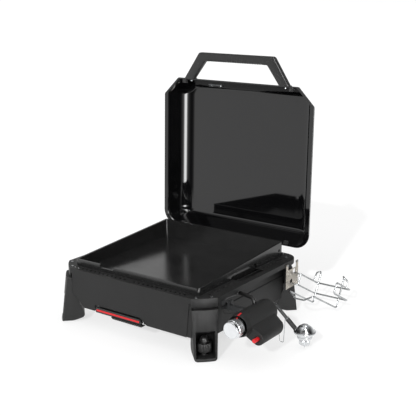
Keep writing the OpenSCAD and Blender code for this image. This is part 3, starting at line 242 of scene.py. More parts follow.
@dataclass(frozen=True)
class Studio:
    """White sheet on the floor, a low lamp in front, even light from all round, and what glossy faces mirror.

    mirrored holds what a glossy face sees level with it, as pairs of an azimuth in degrees, from
    -Y towards +X, and a brightness: a white wall at the front left, a dark gap, a tall strip lamp
    at the front right, then the dark end of the room. upper dims that by the height of the
    direction. Past paper_m from the paper's middle, mirrored rays pass the floor and meet the room.
    """

    floor_m: float = 60.0
    world_strength: float = 0.84
    sun_strength: float = 2.0
    sun_angle_deg: float = 2.5
    sun_from: tuple[float, float, float] = (0.232, -0.842, 0.487)
    paper_glow: float = 0.66
    paper: str = "a2a2a2"
    paper_middle_mm: tuple[float, float] = (-235.0, 560.0)
    paper_m: tuple[float, float] = (1.1, 1.5)
    white: tuple[float, float, float, float] = (1.0, 1.0, 1.0, 1.0)
    brightest: float = 15.0
    mirrored: tuple[tuple[float, float], ...] = (
        (-180, 0.9), (-110, 1.0), (-27, 1.1), (-22, 0.42), (-12, 0.12), (0, 0.05),
        (21, 0.05), (31, 0.25), (39, 0.7), (46, 3.3), (50, 15.0), (60, 15.0),
        (66, 2.8), (72, 0.8), (84, 0.28), (94, 0.06), (115, 0.03), (150, 0.6),
    )
    upper: tuple[tuple[float, float], ...] = (
        (0.0, 1.0), (0.3, 0.9), (0.48, 0.3), (0.8, 0.3), (0.9, 1.0), (1.0, 1.0),
    )

    def seen_round(self, tree: bpy.types.NodeTree, direction: bpy.types.NodeSocket) -> bpy.types.NodeSocket:
        """Adds nodes that give the brightness of the mirrored room for a direction, from its azimuth."""
        parts = put(tree, "SeparateXYZ", {}, {"Vector": direction})
        front = put(tree, "Math", {"operation": "MULTIPLY", "Value_001": -1.0}, {"Value": parts.outputs["Y"]})
        angle = put(tree, "Math", {"operation": "ARCTAN2"},
                    {"Value": parts.outputs["X"], "Value_001": front.outputs["Value"]})
        turn = put(tree, "MapRange", {"From Min": -math.pi, "From Max": math.pi},
                   {"Value": angle.outputs["Value"]})
        ramp = put(tree, "ValToRGB", {}, {"Fac": turn.outputs["Result"]})
        stops = [((azimuth + 180) / 360, bright / self.brightest) for azimuth, bright in self.mirrored]
        set_greys(ramp, stops)
        level = put(tree, "Math", {"operation": "MULTIPLY", "Value_001": self.brightest},
                    {"Value": ramp.outputs["Color"]})
        return level.outputs["Value"]

    def build(self, origin: Array) -> None:
        """Adds the floor, the lamp and the world.

        Args:
            origin: the griddle frame's zero in metres.
        """
        half = self.floor_m / 2
        mesh = bpy.data.meshes.new("floor")
        corners = [(x * half, y * half, 0) for x, y in ((-1, -1), (1, -1), (1, 1), (-1, 1))]
        mesh.from_pydata(corners, [], [(0, 1, 2, 3)])
        floor = bpy.data.objects.new("floor", mesh)
        bpy.context.scene.collection.objects.link(floor)
        mesh.materials.append(self.floor_paper(origin))
        bpy.context.scene.world = self.room()

        data = bpy.data.lights.new("key", "SUN")
        data.energy = self.sun_strength
        data.angle = math.radians(self.sun_angle_deg)
        lamp = bpy.data.objects.new("key", data)
        away = np.array(self.sun_from) / np.linalg.norm(self.sun_from)
        lamp.rotation_euler = (math.acos(away[2]), 0.0, math.atan2(away[1], away[0]) + math.pi / 2)
        bpy.context.scene.collection.objects.link(lamp)

    def floor_paper(self, origin: Array) -> bpy.types.Material:
        """White paper that glows a little, so that shadows on it stay as faint as in the photograph."""
        material = bpy.data.materials.new("white_paper")
        tree = blank(material)
        paper = put(tree, "BsdfPrincipled",
                    {"Base Color": linear(self.paper), "Roughness": 0.9, "Specular IOR Level": 0.0}, {})
        glow = put(tree, "Emission", {"Color": self.white, "Strength": self.paper_glow}, {})
        lit = put(tree, "AddShader", {},
                  {"Shader": paper.outputs["BSDF"], "Shader_001": glow.outputs["Emission"]})
        # Past the paper's edge a mirrored ray runs on through the floor, to the room
        middle = (self.paper_middle_mm[0] * MM + origin[0], self.paper_middle_mm[1] * MM + origin[1], 0)
        place = put(tree, "TexCoord", {}, {}).outputs["Object"]
        away = put(tree, "VectorMath", {"operation": "SUBTRACT", "Vector_001": middle}, {"Vector": place})
        far = put(tree, "VectorMath", {"operation": "LENGTH"}, {"Vector": away.outputs["Vector"]})
        edge = put(tree, "MapRange", {"From Min": self.paper_m[0], "From Max": self.paper_m[1]},
                   {"Value": far.outputs["Value"]})
        through = put(tree, "BsdfTransparent", {"Color": self.white}, {})
        glossy = put(tree, "LightPath", {}, {}).outputs["Is Glossy Ray"]
        share = put(tree, "Math", {"operation": "MULTIPLY"},
                    {"Value": glossy, "Value_001": edge.outputs["Result"]})
        mix = put(tree, "MixShader", {}, {"Fac": share.outputs["Value"], "Shader": lit.outputs["Shader"],
                                          "Shader_001": through.outputs["BSDF"]})
        put(tree, "OutputMaterial", {}, {"Surface": mix.outputs["Shader"]})
        return material

    def room(self) -> bpy.types.World:
        """Even light for matte faces, white for the camera, and the mirrored room for glossy faces."""
        world = bpy.data.worlds.new("studio")
        tree = blank(world)
        path = put(tree, "LightPath", {}, {}).outputs
        direct = put(tree, "Math", {"operation": "MAXIMUM"},
                     {"Value": path["Is Camera Ray"], "Value_001": path["Is Transmission Ray"]})
        plain = put(tree, "MapRange", {"To Min": self.world_strength, "To Max": 1.0},
                    {"Value": direct.outputs["Value"]})
        way = put(tree, "TexCoord", {}, {}).outputs["Generated"]
        height = put(tree, "SeparateXYZ", {}, {"Vector": way}).outputs["Z"]
        dimmed = put(tree, "ValToRGB", {}, {"Fac": height})
        set_greys(dimmed, self.upper)
        seen = put(tree, "Math", {"operation": "MULTIPLY"},
                   {"Value": self.seen_round(tree, way), "Value_001": dimmed.outputs["Color"]})
        strength = put(tree, "Mix", {}, {"Factor": path["Is Glossy Ray"], "A": plain.outputs["Result"],
                                         "B": seen.outputs["Value"]})
        light = put(tree, "Background", {"Color": self.white}, {"Strength": strength.outputs["Result"]})
        put(tree, "OutputWorld", {}, {"Surface": light.outputs["Background"]})
        return world


def rounded(
    points: Sequence[Sequence[float]], radii: Sequence[float], steps: int = 6, closed: bool = True
) -> Array:
    """Rounds a flat polyline's corners with arcs of a fixed number of points.

    Args:
        points: the corners, two numbers each.
        radii: one radius for each corner, 0 for a sharp one that keeps a single point.
        steps: arc pieces for each rounded corner.
        closed: whether the last corner joins the first.

    Returns:
        The points of the rounded line.
    """
    corners = np.array(points, float)
    out: list[Array] = []
    count = len(corners)
    for i, (corner, radius) in enumerate(zip(corners, radii)):
        if radius <= 0 or (not closed and i in (0, count - 1)):
            out.append(corner)
            continue
        back = corners[i - 1] - corner
        on = corners[(i + 1) % count] - corner
        back /= np.linalg.norm(back)
        on /= np.linalg.norm(on)
        half = math.acos(float(np.clip(back @ on, -1, 1))) / 2
        middle = corner + (back + on) / np.linalg.norm(back + on) * radius / math.sin(half)
        # Arc from the tangent point on the line before to that on the line after
        start = corner + back * radius / math.tan(half) - middle
        end = corner + on * radius / math.tan(half) - middle
        turn = math.acos(float(np.clip(start @ end / radius**2, -1, 1)))
        for k in range(steps + 1):
            t = k / steps
            swung = math.sin((1 - t) * turn) * start + math.sin(t * turn) * end
            out.append(middle + swung / math.sin(turn))
    return np.array(out)


def turned(points: Array, axis: Sequence[float], degrees: float, about: Sequence[float]) -> Array:
    """Turns points about an axis through a point."""
    spin = np.array(Matrix.Rotation(math.radians(degrees), 3, Vector(axis)))
    centre = np.array(about, float)
    return (points - centre) @ spin.T + centre


def facing(axis: Sequence[float]) -> Array:
    """A rotation that takes +Z to an axis, as rows to multiply points with from the right."""
    return np.array(Vector((0, 0, 1)).rotation_difference(Vector(axis)).to_matrix()).T


def lying(flat: Array, z: float) -> Array:
    """Lays a line of the plan at a height."""
    return np.column_stack([flat, np.full(len(flat), z)])


def standing(section: Array, y: float) -> Array:
    """Stands a line of x and z pairs at a depth."""
    return np.column_stack([section[:, 0], np.full(len(section), y), section[:, 1]])


@dataclass
class Piece:
    """Gathers grids and caps of points, in millimetres of the griddle frame, into one object."""

    name: str
    points: list[Array] = field(default_factory=list)
    faces: list[tuple[int, ...]] = field(default_factory=list)
    stained: list[int] = field(default_factory=list)
    count: int = 0

    def add(self, points: Array, faces: Sequence[tuple[int, ...]], stain: int = 0) -> None:
        """Adds points with their faces; stain is the material's number on the piece."""
        self.points.append(points.reshape(-1, 3))
        self.faces += [tuple(i + self.count for i in face) for face in faces]
        self.stained += [stain] * len(faces)
        self.count += len(self.points[-1])

    def grid(self, rows: Array, stain: int = 0) -> None:
        """Adds a grid of quads from an array of rows, columns and 3 numbers; each row closes on itself."""
        tall, wide = rows.shape[:2]
        faces = [
            (r * wide + c, r * wide + (c + 1) % wide, (r + 1) * wide + (c + 1) % wide, (r + 1) * wide + c)
            for r in range(tall - 1)
            for c in range(wide)
        ]
        self.add(rows, faces, stain)

    def skin(self, rings: Sequence[Array]) -> None:
        """Joins rings of equal length into a skin and closes its two ends with one flat face each."""
        self.grid(np.array(rings))
        for ring in (rings[0], rings[-1]):
            self.add(np.array(ring), [tuple(range(len(ring)))])

    def lathe(
        self,
        profile: Sequence[Sequence[float]],
        base: Sequence[float],
        axis: Sequence[float] = (0, 0, 1),
        segments: int = 64,
        wave: Callable[[Array], Array] | None = None,
        stain: int = 0,
    ) -> None:
        """Turns a profile of radius and height pairs about an axis from base.

        Args:
            profile: radius and height pairs; a radius of 0 closes the end.
            base: the profile's zero.
            axis: the direction of its heights.
            segments: points round the axis.
            wave: radius factor for each angle, such as flutes.
            stain: the material's number on the piece.
        """
        angles = np.linspace(0, 2 * math.pi, segments, endpoint=False)
        factor = wave(angles) if wave else np.ones(segments)
        round_line = np.stack([factor * np.cos(angles), factor * np.sin(angles)], axis=1)
        rings = [lying(max(r, 1e-4) * round_line, h) for r, h in profile]
        self.grid((np.array(rings) @ facing(axis)) + np.array(base, float), stain=stain)

    def sweep(self, path: Array, radius: float, segments: int = 12) -> None:
        """Runs a round section along a path, without twist."""
        ahead = np.gradient(path, axis=0)
        ahead /= np.linalg.norm(ahead, axis=1)[:, None]
        side = np.cross(ahead[0], (0.0, 0.0, 1.0))
        if np.linalg.norm(side) < 0.1:
            side = np.cross(ahead[0], (1.0, 0.0, 0.0))
        angles = np.linspace(0, 2 * math.pi, segments, endpoint=False)
        rings = []
        for point, way in zip(path, ahead):
            side = side - way * (side @ way)
            side /= np.linalg.norm(side)
            other = np.cross(way, side)
            rings.append(point + radius * (np.cos(angles)[:, None] * side + np.sin(angles)[:, None] * other))
        self.skin(rings)

    def build(
        self,
        origin: Array,
        body: str,
        made: Mapping[str, bpy.types.Material],
        finishes: Sequence[str],
        replaces: Sequence[str] = (),
        sharp_deg: float = 32.0,
        slot: str = "",
    ) -> bpy.types.Object:
        """Makes the object, merges its seams, smooths it and hangs it on its body.

        Args:
            origin: the griddle frame's zero in metres.
            body: the CAD body that carries the piece.
            made: the materials by name in FINISHES.
            finishes: its finishes, by stain number.
            replaces: CAD nodes that it stands for.
            sharp_deg: edges that bend more than this stay sharp.
            slot: the record's material slot, where the first finish isn't named after it; not used.

        Returns:
            The new object.
        """
        mesh = bpy.data.meshes.new(self.name)
        placed = np.concatenate(self.points) * MM + origin
        mesh.from_pydata(placed.tolist(), [], self.faces)
        for finish in finishes:
            mesh.materials.append(made[finish])
        mesh.polygons.foreach_set("material_index", np.array(self.stained, np.int32))
        work = bmesh.new()
        work.from_mesh(mesh)
        bmesh.ops.remove_doubles(work, verts=work.verts, dist=WELD_M)
        bmesh.ops.recalc_face_normals(work, faces=work.faces)
        work.to_mesh(mesh)
        work.free()
        mesh.shade_smooth()
        mesh.set_sharp_from_angle(angle=math.radians(sharp_deg))
        obj = bpy.data.objects.new(self.name, mesh)
        bpy.context.scene.collection.objects.link(obj)
        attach(obj, body)
        if replaces:
            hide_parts(*replaces)
        LOG.info("%s: %d faces on %s", self.name, len(mesh.polygons), body)
        return obj


@dataclass(frozen=True)
class Lid:
    """The pressed lid with its handle, drawn closed and then swung open about its hinge."""

    half_rim: float = 278.0
    half_wall: float = 268.0
    front: float = -29.0
    rear: float = 461.0
    rim_z: float = 170.3
    height: float = 80.0
    sheet: float = 1.5
    taper: float = 30.0
    side_radius: float = 60.0
    end_radius: float = 18.0
    corner_radius: float = 24.0
    rim_cut: float = 54.0
    wall_cut: float = 48.0
    rear_radius: float = 45.0
    lip: float = 3.0
    lip_height: float = 4.0
    hinge: tuple[float, float] = (483.0, 162.0)
    open_deg: float = 91.4
    handle_front: float = -117.0
    handle_rear: float = -32.4
    handle_z: tuple[float, float] = (163.3, 181.3)
    handle_half: float = 195.0
    grip_half: float = 138.5
    bar: float = 27.0
    foot: float = 36.0
    bar_slant: float = 23.0
    tooth_pitch: float = 9.0
    tooth_depth: float = 4.0
    teeth_margin: float = 36.0
    mitre: float = 7.0

    def opened(self, points: Array) -> Array:
        """Swings points of the closed lid to where they are with the lid open."""
        return turned(points, (1, 0, 0), -self.open_deg, (0.0, *self.hinge))

    def outline(self, half: float, inset: float, corner_cut: float, pieces: int = 36) -> Array:
        """The lid's outline at a half width, inset from its front and rear edges.

        Each straight side has the same number of points, closer together near its ends.
        """
        y0 = self.front + inset
        y1 = self.rear - inset
        cut = max(corner_cut - inset * (2 - math.sqrt(2)), 5.0)
        rear = max(self.rear_radius - inset, 5.0)
        front = max(9.0 - 0.2 * inset, 3.0)
        corners = [(half - cut, y0), (half, y0 + cut), (half, y1),
                   (-half, y1), (-half, y0 + cut), (-half + cut, y0)]
        steps = 10
        line = rounded(corners, [front, front, rear, rear, front, front], steps)
        spread = (1 - np.cos(np.linspace(0, math.pi, pieces + 1))) / 2
        out = []
        for k in range(len(corners)):
            arc = line[k * (steps + 1) : (k + 1) * (steps + 1)]
            ahead = line[(k + 1) * (steps + 1) % len(line)]
            out += [arc, arc[-1] + (ahead - arc[-1]) * spread[1:-1, None]]
        return np.concatenate(out)

    def rise(self, inset: Array, radius: Array | float, sheet: float) -> Array:
        """Height of a wall at a distance inside its base: a slope, an arc, then the flat top."""
        slope = math.atan2(self.taper, self.height)
        top = self.height - sheet
        reach = top * self.taper / self.height
        tangent = (radius - sheet) * math.tan((math.pi / 2 - slope) / 2)
        start = reach - tangent * math.sin(slope)
        end = reach + tangent
        inside = np.sqrt(np.maximum((radius - sheet) ** 2 - (end - inset) ** 2, 0.0))
        arc = top - (radius - sheet) + inside
        return np.where(inset < start, inset * self.height / self.taper, np.where(inset > end, top, arc))

    def heights(self, flat: Array, sheet: float) -> Array:
        """Height over the rim of the pressed surface at points of the plan.

        Side, front, rear and cut corner walls meet along soft mitres; the rear corners are round.
        """
        half = self.half_wall - sheet
        x = np.abs(flat[:, 0])
        y = flat[:, 1]
        from_side = half - x
        from_front = y - (self.front + sheet)
        from_rear = self.rear - sheet - y
        across = (self.half_wall - self.wall_cut - self.front - (x - y)) / math.sqrt(2) - sheet
        walls = [
            self.rise(from_side, self.side_radius, sheet),
            self.rise(from_front, self.end_radius, sheet),
            self.rise(from_rear, self.end_radius, sheet),
            self.rise(across, self.corner_radius, sheet),
        ]
        qx = x - (half - self.rear_radius)
        qy = y - (self.rear - sheet - self.rear_radius)
        in_corner = (qx > 0) & (qy > 0)
        away = np.maximum(np.hypot(qx, qy), 1e-6)
        sideways = np.where(in_corner, (qx / away) ** 2, 0.0)
        mixed = self.end_radius + (self.side_radius - self.end_radius) * sideways
        walls.append(np.where(in_corner, self.rise(self.rear_radius - away, mixed, sheet), 1e3))
        # The lowest wall, sunk where two are near each other, and less so near the rim
        lowest = walls[0]
        for wall in walls[1:]:
            near = np.maximum(self.mitre - np.abs(lowest - wall), 0.0) / self.mitre
            lower = np.minimum(lowest, wall)
            lowest = lower - near**2 * self.mitre / 4 * np.clip(lower / 12, 0, 1)
        return np.maximum(lowest, 0.0)

    def pressed(self, sheet: float) -> list[Array]:
        """Rings of the pressed surface from just inside its base to the flat top."""
        # Closest where the wall bends into the top
        insets = np.concatenate([np.linspace(1.0, 30, 9), np.linspace(32.5, 76, 20), [84.0, 96.0]])
        rings = []
        for inset in insets:
            flat = self.outline(self.half_wall - sheet - inset, sheet + inset, self.wall_cut)
            rings.append(np.column_stack([flat, self.rim_z + self.heights(flat, sheet)]))
        return rings

    def level(self, half: float, inset: float, z: float, cut: float) -> Array:
        """A flat ring at a height over the rim plane."""
        return lying(self.outline(half, inset, cut), self.rim_z + z)

    def shell(self) -> Piece:
        """The pressed sheet: outer skin, flange, folded lip and inner skin."""
        piece = Piece("pressed_lid")
        outer = self.pressed(0.0)[::-1]
        edge = [
            self.level(self.half_wall - 0.3, 0.3, self.sheet + 0.5, self.wall_cut),
            self.level(self.half_wall + 0.6, -0.6, self.sheet, self.wall_cut),
        ]
        lip, high = self.lip, self.lip_height
        for out, z in ((0.9, self.sheet), (1.0, high - 0.5), (1.5, high), (lip - 0.7, high),
                       (lip, high - 0.7), (lip, 0.5), (lip - 0.5, 0.0), (0.9, 0.0)):
            edge.append(self.level(self.half_rim + out, -out, z, self.rim_cut))
        edge.append(self.level(self.half_wall - 1.0, 1.0, 0.0, self.wall_cut))
        piece.skin([self.opened(ring) for ring in outer + edge + self.pressed(self.sheet)])
        return piece

    def handle(self) -> Piece:
        """The moulded handle: a trapezium bar with bevelled edges, teeth inside the grip and two feet."""
        piece = Piece("moulded_handle")
        half, grip, rear, front = self.handle_half, self.grip_half, self.handle_rear, self.handle_front
        inner_half, inner_grip, inner_front = half - self.foot, grip - self.bar_slant, front + self.bar
        share = np.linspace(0, 1, 26)[1:-1, None]
        fine = np.linspace(0, 1, 301)[1:-1, None]
        stations = []
        edges = ((half, grip, front, 12.0), (inner_half, inner_grip, inner_front, 8.0))
        for foot_x, grip_x, y, radius in edges:
            corners = [(-foot_x, rear), (-grip_x, y), (grip_x, y), (foot_x, rear)]
            line = rounded(corners, [0, radius, radius, 0], 10, closed=False)
            stations.append(np.concatenate([
                line[:1], line[0] + (line[1] - line[0]) * share, line[1:12],
                line[11] + (line[12] - line[11]) * fine,
                line[12:23], line[-2] + (line[-1] - line[-2]) * share, line[23:],
            ]))
        outer, inner = stations
        # Round teeth along the straight part of the inner edge
        wave = np.tanh(2 * np.cos(inner[:, 0] * math.tau / self.tooth_pitch))
        teeth = np.where(np.abs(inner[:, 0]) < grip - self.teeth_margin, wave, 1.0)
        inner[:, 1] -= self.tooth_depth / 2 * (1 - teeth) * (inner[:, 1] < inner_front + 2)
        z0, z1 = self.handle_z
        rings = []
        for a, b in zip(outer, inner):
            wide = float(np.linalg.norm(b - a))
            section = rounded([(0, z0), (wide, z0), (wide, z1), (0, z1)], [4.0] * 4, 4)
            rings.append(np.column_stack([a + (b - a) / wide * section[:, :1], section[:, 1]]))
        piece.skin([self.opened(ring) for ring in rings])
        for side in (-1, 1):
            rings = []
            for z, small in ((174.8, 1.2), (176.0, 0.0), (185.0, 0.0), (186.3, 1.2)):
                back = self.front + (z - self.rim_z) * self.taper / self.height - 0.1
                near, far = sorted((side * (inner_half + small), side * (half - small)))
                seat = rear - 1 + small
                flat = rounded([(near, seat), (far, seat), (far, back), (near, back)], [2.0, 2.0, 0, 0], 3)
                rings.append(self.opened(lying(flat, z)))
            piece.skin(rings)
        return piece


@dataclass(frozen=True)
class LevelKnob:
    """A levelling knob on its leg: fluted ring, dome with a small crown, and a threaded stud."""

    leg: str
    x: float
    y: float
    ring_radius: float = 21.5
    ring_low: float = 20.0
    ring_high: float = 44.0
    dome_radius: float = 13.0
    dome_height: float = 18.0
    stud_radius: float = 4.0
    stud_low: float = 1.4
    pitch: float = 1.25
    flutes: int = 24

    def build(self) -> Piece:
        """Draws the knob in place."""
        piece = Piece(f"levelling_knob_{self.leg}")
        base = (self.x, self.y, 0.0)

        def fluted(angles: Array) -> Array:
            """Radius factor with round flutes."""
            return 1 - 0.052 * np.abs(np.cos(angles * self.flutes / 2)) ** 6

        low, high, rim = self.ring_low, self.ring_high, self.ring_radius
        ring = [(0.0, low), (rim - 7, low), (rim - 6, low + 1.2), (rim - 3, low + 1.2), (rim - 1.2, low),
                (rim - 0.4, low + 0.5), (rim, low + 1.4), (rim, high - 1.6), (rim - 0.5, high - 0.6),
                (rim - 1.5, high)]
        piece.lathe(ring, base, segments=240, wave=fluted)
        crown = self.dome_radius
        corners = [(rim - 1.5, high), (rim - 4.5, high), (rim - 5.5, high - 1.2), (crown + 1.2, high - 1.2)]
        step = rounded(corners, [0, 0.8, 0.8, 0], 3, closed=False)
        rise = high + self.dome_height - crown
        arc = [(crown * math.cos(a), rise + crown * math.sin(a)) for a in np.linspace(0, math.pi / 2, 14)]
        piece.lathe([*step, (crown, high - 0.6), *arc], base, segments=96)
        # Rolled thread: a ridge every pitch
        stud = self.stud_radius
        thread = [(0.0, self.stud_low), (stud - 0.6, self.stud_low)]
        for k in range(int((low - self.stud_low) / self.pitch)):
            z = self.stud_low + k * self.pitch
            thread += [(stud - 0.62, z + 0.15), (stud - 0.05, z + 0.55),
                       (stud - 0.05, z + 0.75), (stud - 0.62, z + 1.15)]
        thread += [(stud - 0.6, low)]
        piece.lathe(thread, base, segments=32, stain=1)
        return piece


@dataclass(frozen=True)
class ControlKnob:
    """Chrome knob with a fine knurl, a stepped bezel and a spun white face."""

    x: float = 350.0
    z: float = 112.7
    radius: float = 25.0
    ribs: int = 60

    def build(self) -> tuple[Piece, Piece]:
        """Draws the skirt and the face; heights run forward from the collar."""
        base = (self.x, 0.0, self.z)
        forward = (0.0, -1.0, 0.0)
        skirt = Piece("knob_skirt")
        r = self.radius

        def knurled(angles: Array) -> Array:
            """Radius factor with fine round ribs."""
            return 1 - 0.018 * np.abs(np.sin(angles * self.ribs / 2))

        skirt.lathe([(r - 4, -5.0), (r - 3, -5.0), (r - 3, 20.0), (r - 4, 20.5)], base, forward, 96)
        skirt.lathe([(r - 3.2, -4.0), (r - 0.6, -4.0), (r, -3.4), (r, 3.5)], base, forward, 240)
        grip = [(r, 3.5), (r, 4.2), (r, 24.4), (r - 0.2, 25.0), (r - 0.8, 25.6)]
        skirt.lathe(grip, base, forward, 360, knurled)
        bezel = rounded([(r - 0.8, 25.6), (r - 1.6, 26.4), (r - 1.6, 30.5), (r - 2.9, 34.2), (r - 3.6, 34.2),
                         (r - 4.6, 33.0), (0.0, 33.0)], [0, 0.6, 1.4, 0.5, 0.4, 0.3, 0], 4, closed=False)
        skirt.lathe(bezel, base, forward, 120)
        face = Piece("knob_spun_face")
        dish = rounded([(0.0, 34.6), (r - 9, 34.7), (r - 4.6, 35.0), (r - 3.9, 34.6), (r - 3.9, 33.4),
                        (0.0, 33.2)], [0, 6, 0.5, 0.4, 0, 0], 6, closed=False)
        face.lathe(dish, base, forward, 120)
        return skirt, face


@dataclass(frozen=True)
class Regulator:
    """Die-cast regulator: knurled nut with the pin that opens the cylinder, waist, stepped dome."""

    x: float = 434.5
    y: float = 207.0
    nut: tuple[float, float] = (12.8, 27.4)
    nut_radius: float = 15.75
    bore_radius: float = 12.7
    body_radius: float = 21.5
    rim_radius: float = 31.0
    dome: tuple[float, float, float] = (45.0, 50.0, 69.6)
    thread_pitch: float = 1.27
    threads: int = 10
    ribs: int = 36

    def build(self) -> Piece:
        """Draws the regulator from the nut up."""
        piece = Piece("die_cast_regulator")
        base = (self.x, self.y, 0.0)
        z0, z1 = self.nut
        low, rim, top = self.dome
        nut, bore, wide = self.nut_radius, self.bore_radius, self.rim_radius

        def knurled(angles: Array) -> Array:
            """Radius factor with the nut's ribs."""
            return 1 - 0.035 * np.abs(np.sin(angles * self.ribs / 2)) ** 3

        piece.lathe([(bore, z0 + 0.6), (bore + 0.6, z0), (nut - 0.8, z0)], base, segments=216)
        grip = [(nut - 0.8, z0), (nut - 0.1, z0 + 0.7), (nut, z0 + 1.4), (nut, z1 - 0.4),
                (nut - 0.5, z1 + 0.3), (nut - 1.2, z1 + 0.7)]
        piece.lathe(grip, base, segments=216, wave=knurled)
        # Thread inside the nut
        inside = [(bore, z0 + 0.6)]
        for k in range(self.threads):
            z = z0 + 0.9 + self.thread_pitch * k
            inside += [(bore + 0.05, z), (bore + 0.6, z + 0.4), (bore + 0.6, z + 0.6), (bore + 0.05, z + 1.0)]
        inside += [(bore, z1 - 0.8), (0.0, z1 - 0.8)]
        piece.lathe(inside, base, segments=96)
        # Waist between the nut and the body, then the body with two turned steps
        r = self.body_radius
        corners = [(nut - 1.2, z1 + 0.7), (r - 2.5, z1 + 0.9), (r, z1 + 3.2), (r, z1 + 8.5),
                   (r - 1.0, z1 + 8.8), (r - 1.0, z1 + 10.4), (r, z1 + 10.7), (r, low - 1.4),
                   (r + 2.2, low), (wide - 0.9, low), (wide, low + 0.9), (wide, rim - 0.4),
                   (wide - 1.3, rim + 0.7), (wide - 3.6, rim + 0.9), (wide - 4.6, rim + 2.4)]
        radii = [0, 0.8, 1.0, 0.3, 0.3, 0.3, 0.3, 0.8, 1.2, 0.4, 0.5, 0.5, 0.6, 0.8, 0]
        piece.lathe(rounded(corners, radii, 3, closed=False), base, segments=128)
        # Pressed dome: a shallow arc, a step, then the small top boss
        span = wide - 4.6
        rise = top - 3.2 - (rim + 2.4)
        arc = [(span + (9.4 - span) * t, rim + 2.4 + rise * math.sin(t * math.pi / 2) ** 0.92)
               for t in np.linspace(0, 1, 16)]
        boss = rounded([arc[-1], (9.2, top - 0.8), (8.0, top), (0.0, top - 0.2)], [0, 0.6, 0.8, 0], 4,
                       closed=False)
        piece.lathe([*arc, *boss[1:]], base, segments=128)
        # Pin that presses on the cylinder's valve
        pin = [(0.0, 1.8), (1.0, 1.8), (1.6, 2.5), (1.6, 20.0), (4.2, 21.0), (4.2, z1 - 0.8)]
        piece.lathe(pin, base, segments=40)
        return piece


@dataclass(frozen=True)
class Pod:
    """The moulded valve housing: a barrel round the gas valve and a lobe that holds the igniter."""

    x: float = 350.0
    z: float = 112.7
    radius: float = 33.0
    length: float = 150.0
    bezel: float = 15.0
    parting: float = 33.0
    lobe: tuple[float, float] = (401.0, 84.7)
    lobe_radius: float = 18.0
    lobe_end: float = 108.0
    button_radius: float = 5.6
    seat: float = 3.0

    def edge(self, angles: Array, inset: float) -> Array:
        """Distance from the lobe's middle to its outline: a half round, then two flat sides to the barrel."""
        along = np.array([self.x - self.lobe[0], self.z - self.lobe[1]])
        span = float(np.linalg.norm(along))
        way = along / span
        toward = np.cos(angles) * way[0] + np.sin(angles) * way[1]
        across = np.abs(np.cos(angles) * way[1] - np.sin(angles) * way[0])
        side = self.lobe_radius / np.maximum(across, 1e-6)
        far = np.minimum(side, span / np.maximum(toward, 1e-6))
        return np.where(toward < 0, self.lobe_radius, far) - inset

    def build(self) -> Piece:
        """Draws the barrel and the lobe."""
        piece = Piece("moulded_valve_housing")
        r, y1 = self.radius, self.length
        back = [(r - 8 + 8 * math.sin(a), y1 - 8 + 8 * math.cos(a)) for a in np.linspace(math.pi / 2, 0, 9)]
        y0, seam = self.bezel, self.parting
        barrel = [(5.0, 12.0), (r - 5.0, 12.0), (r - 4.5, 11.5), (r - 4.5, 0.9), (r - 4.0, 0.2),
                  (r - 3.5, 0.0), (r - 3.2, 0.4), (r - 3.0, 1.2), (r - 0.1, y0 - 1), (r, y0), (r, seam - 0.4),
                  (r - 0.4, seam - 0.2), (r - 0.4, seam + 0.2), (r, seam + 0.4)]
        piece.lathe([*barrel, *back, (0.0, y1)], (self.x, 0.0, self.z), (0, 1, 0), 144)
        angles = np.linspace(0, 2 * math.pi, 240, endpoint=False)

        def ring(radii: Array | float, y: float) -> Array:
            """One ring about the lobe's middle."""
            around = np.stack([radii * np.cos(angles), radii * np.sin(angles)], axis=1)
            return standing(around + self.lobe, y)

        def rear(inset: float, short: float) -> Array:
            """A ring at the slanted rear end of the lobe."""
            flat = ring(self.edge(angles, inset), 0.0)
            flat[:, 1] = self.lobe_end + (flat[:, 2] - self.lobe[1] + self.lobe_radius - 2) * 0.53 - short
            return flat

        b, rest = self.button_radius, y0 + self.seat
        bore = ((b, 60.0), (b, rest + 0.2), (b + 0.3, rest), (b + 2.9, rest), (b + 2.9, y0 + 0.6),
                (b + 3.4, y0))
        outside = ((1.6, y0), (0.8, y0 + 0.25), (0.2, y0 + 0.9), (0.0, y0 + 1.8), (0.0, seam - 0.4),
                   (0.4, seam - 0.2), (0.4, seam + 0.2), (0.0, seam + 0.4))
        end = ((0.0, 2.4), (0.3, 1.0), (1.0, 0.3), (2.0, 0.0))
        piece.skin([ring(radius, y) for radius, y in bore]
                   + [ring(self.edge(angles, inset), y) for inset, y in outside]
                   + [rear(inset, short) for inset, short in end])
        return piece


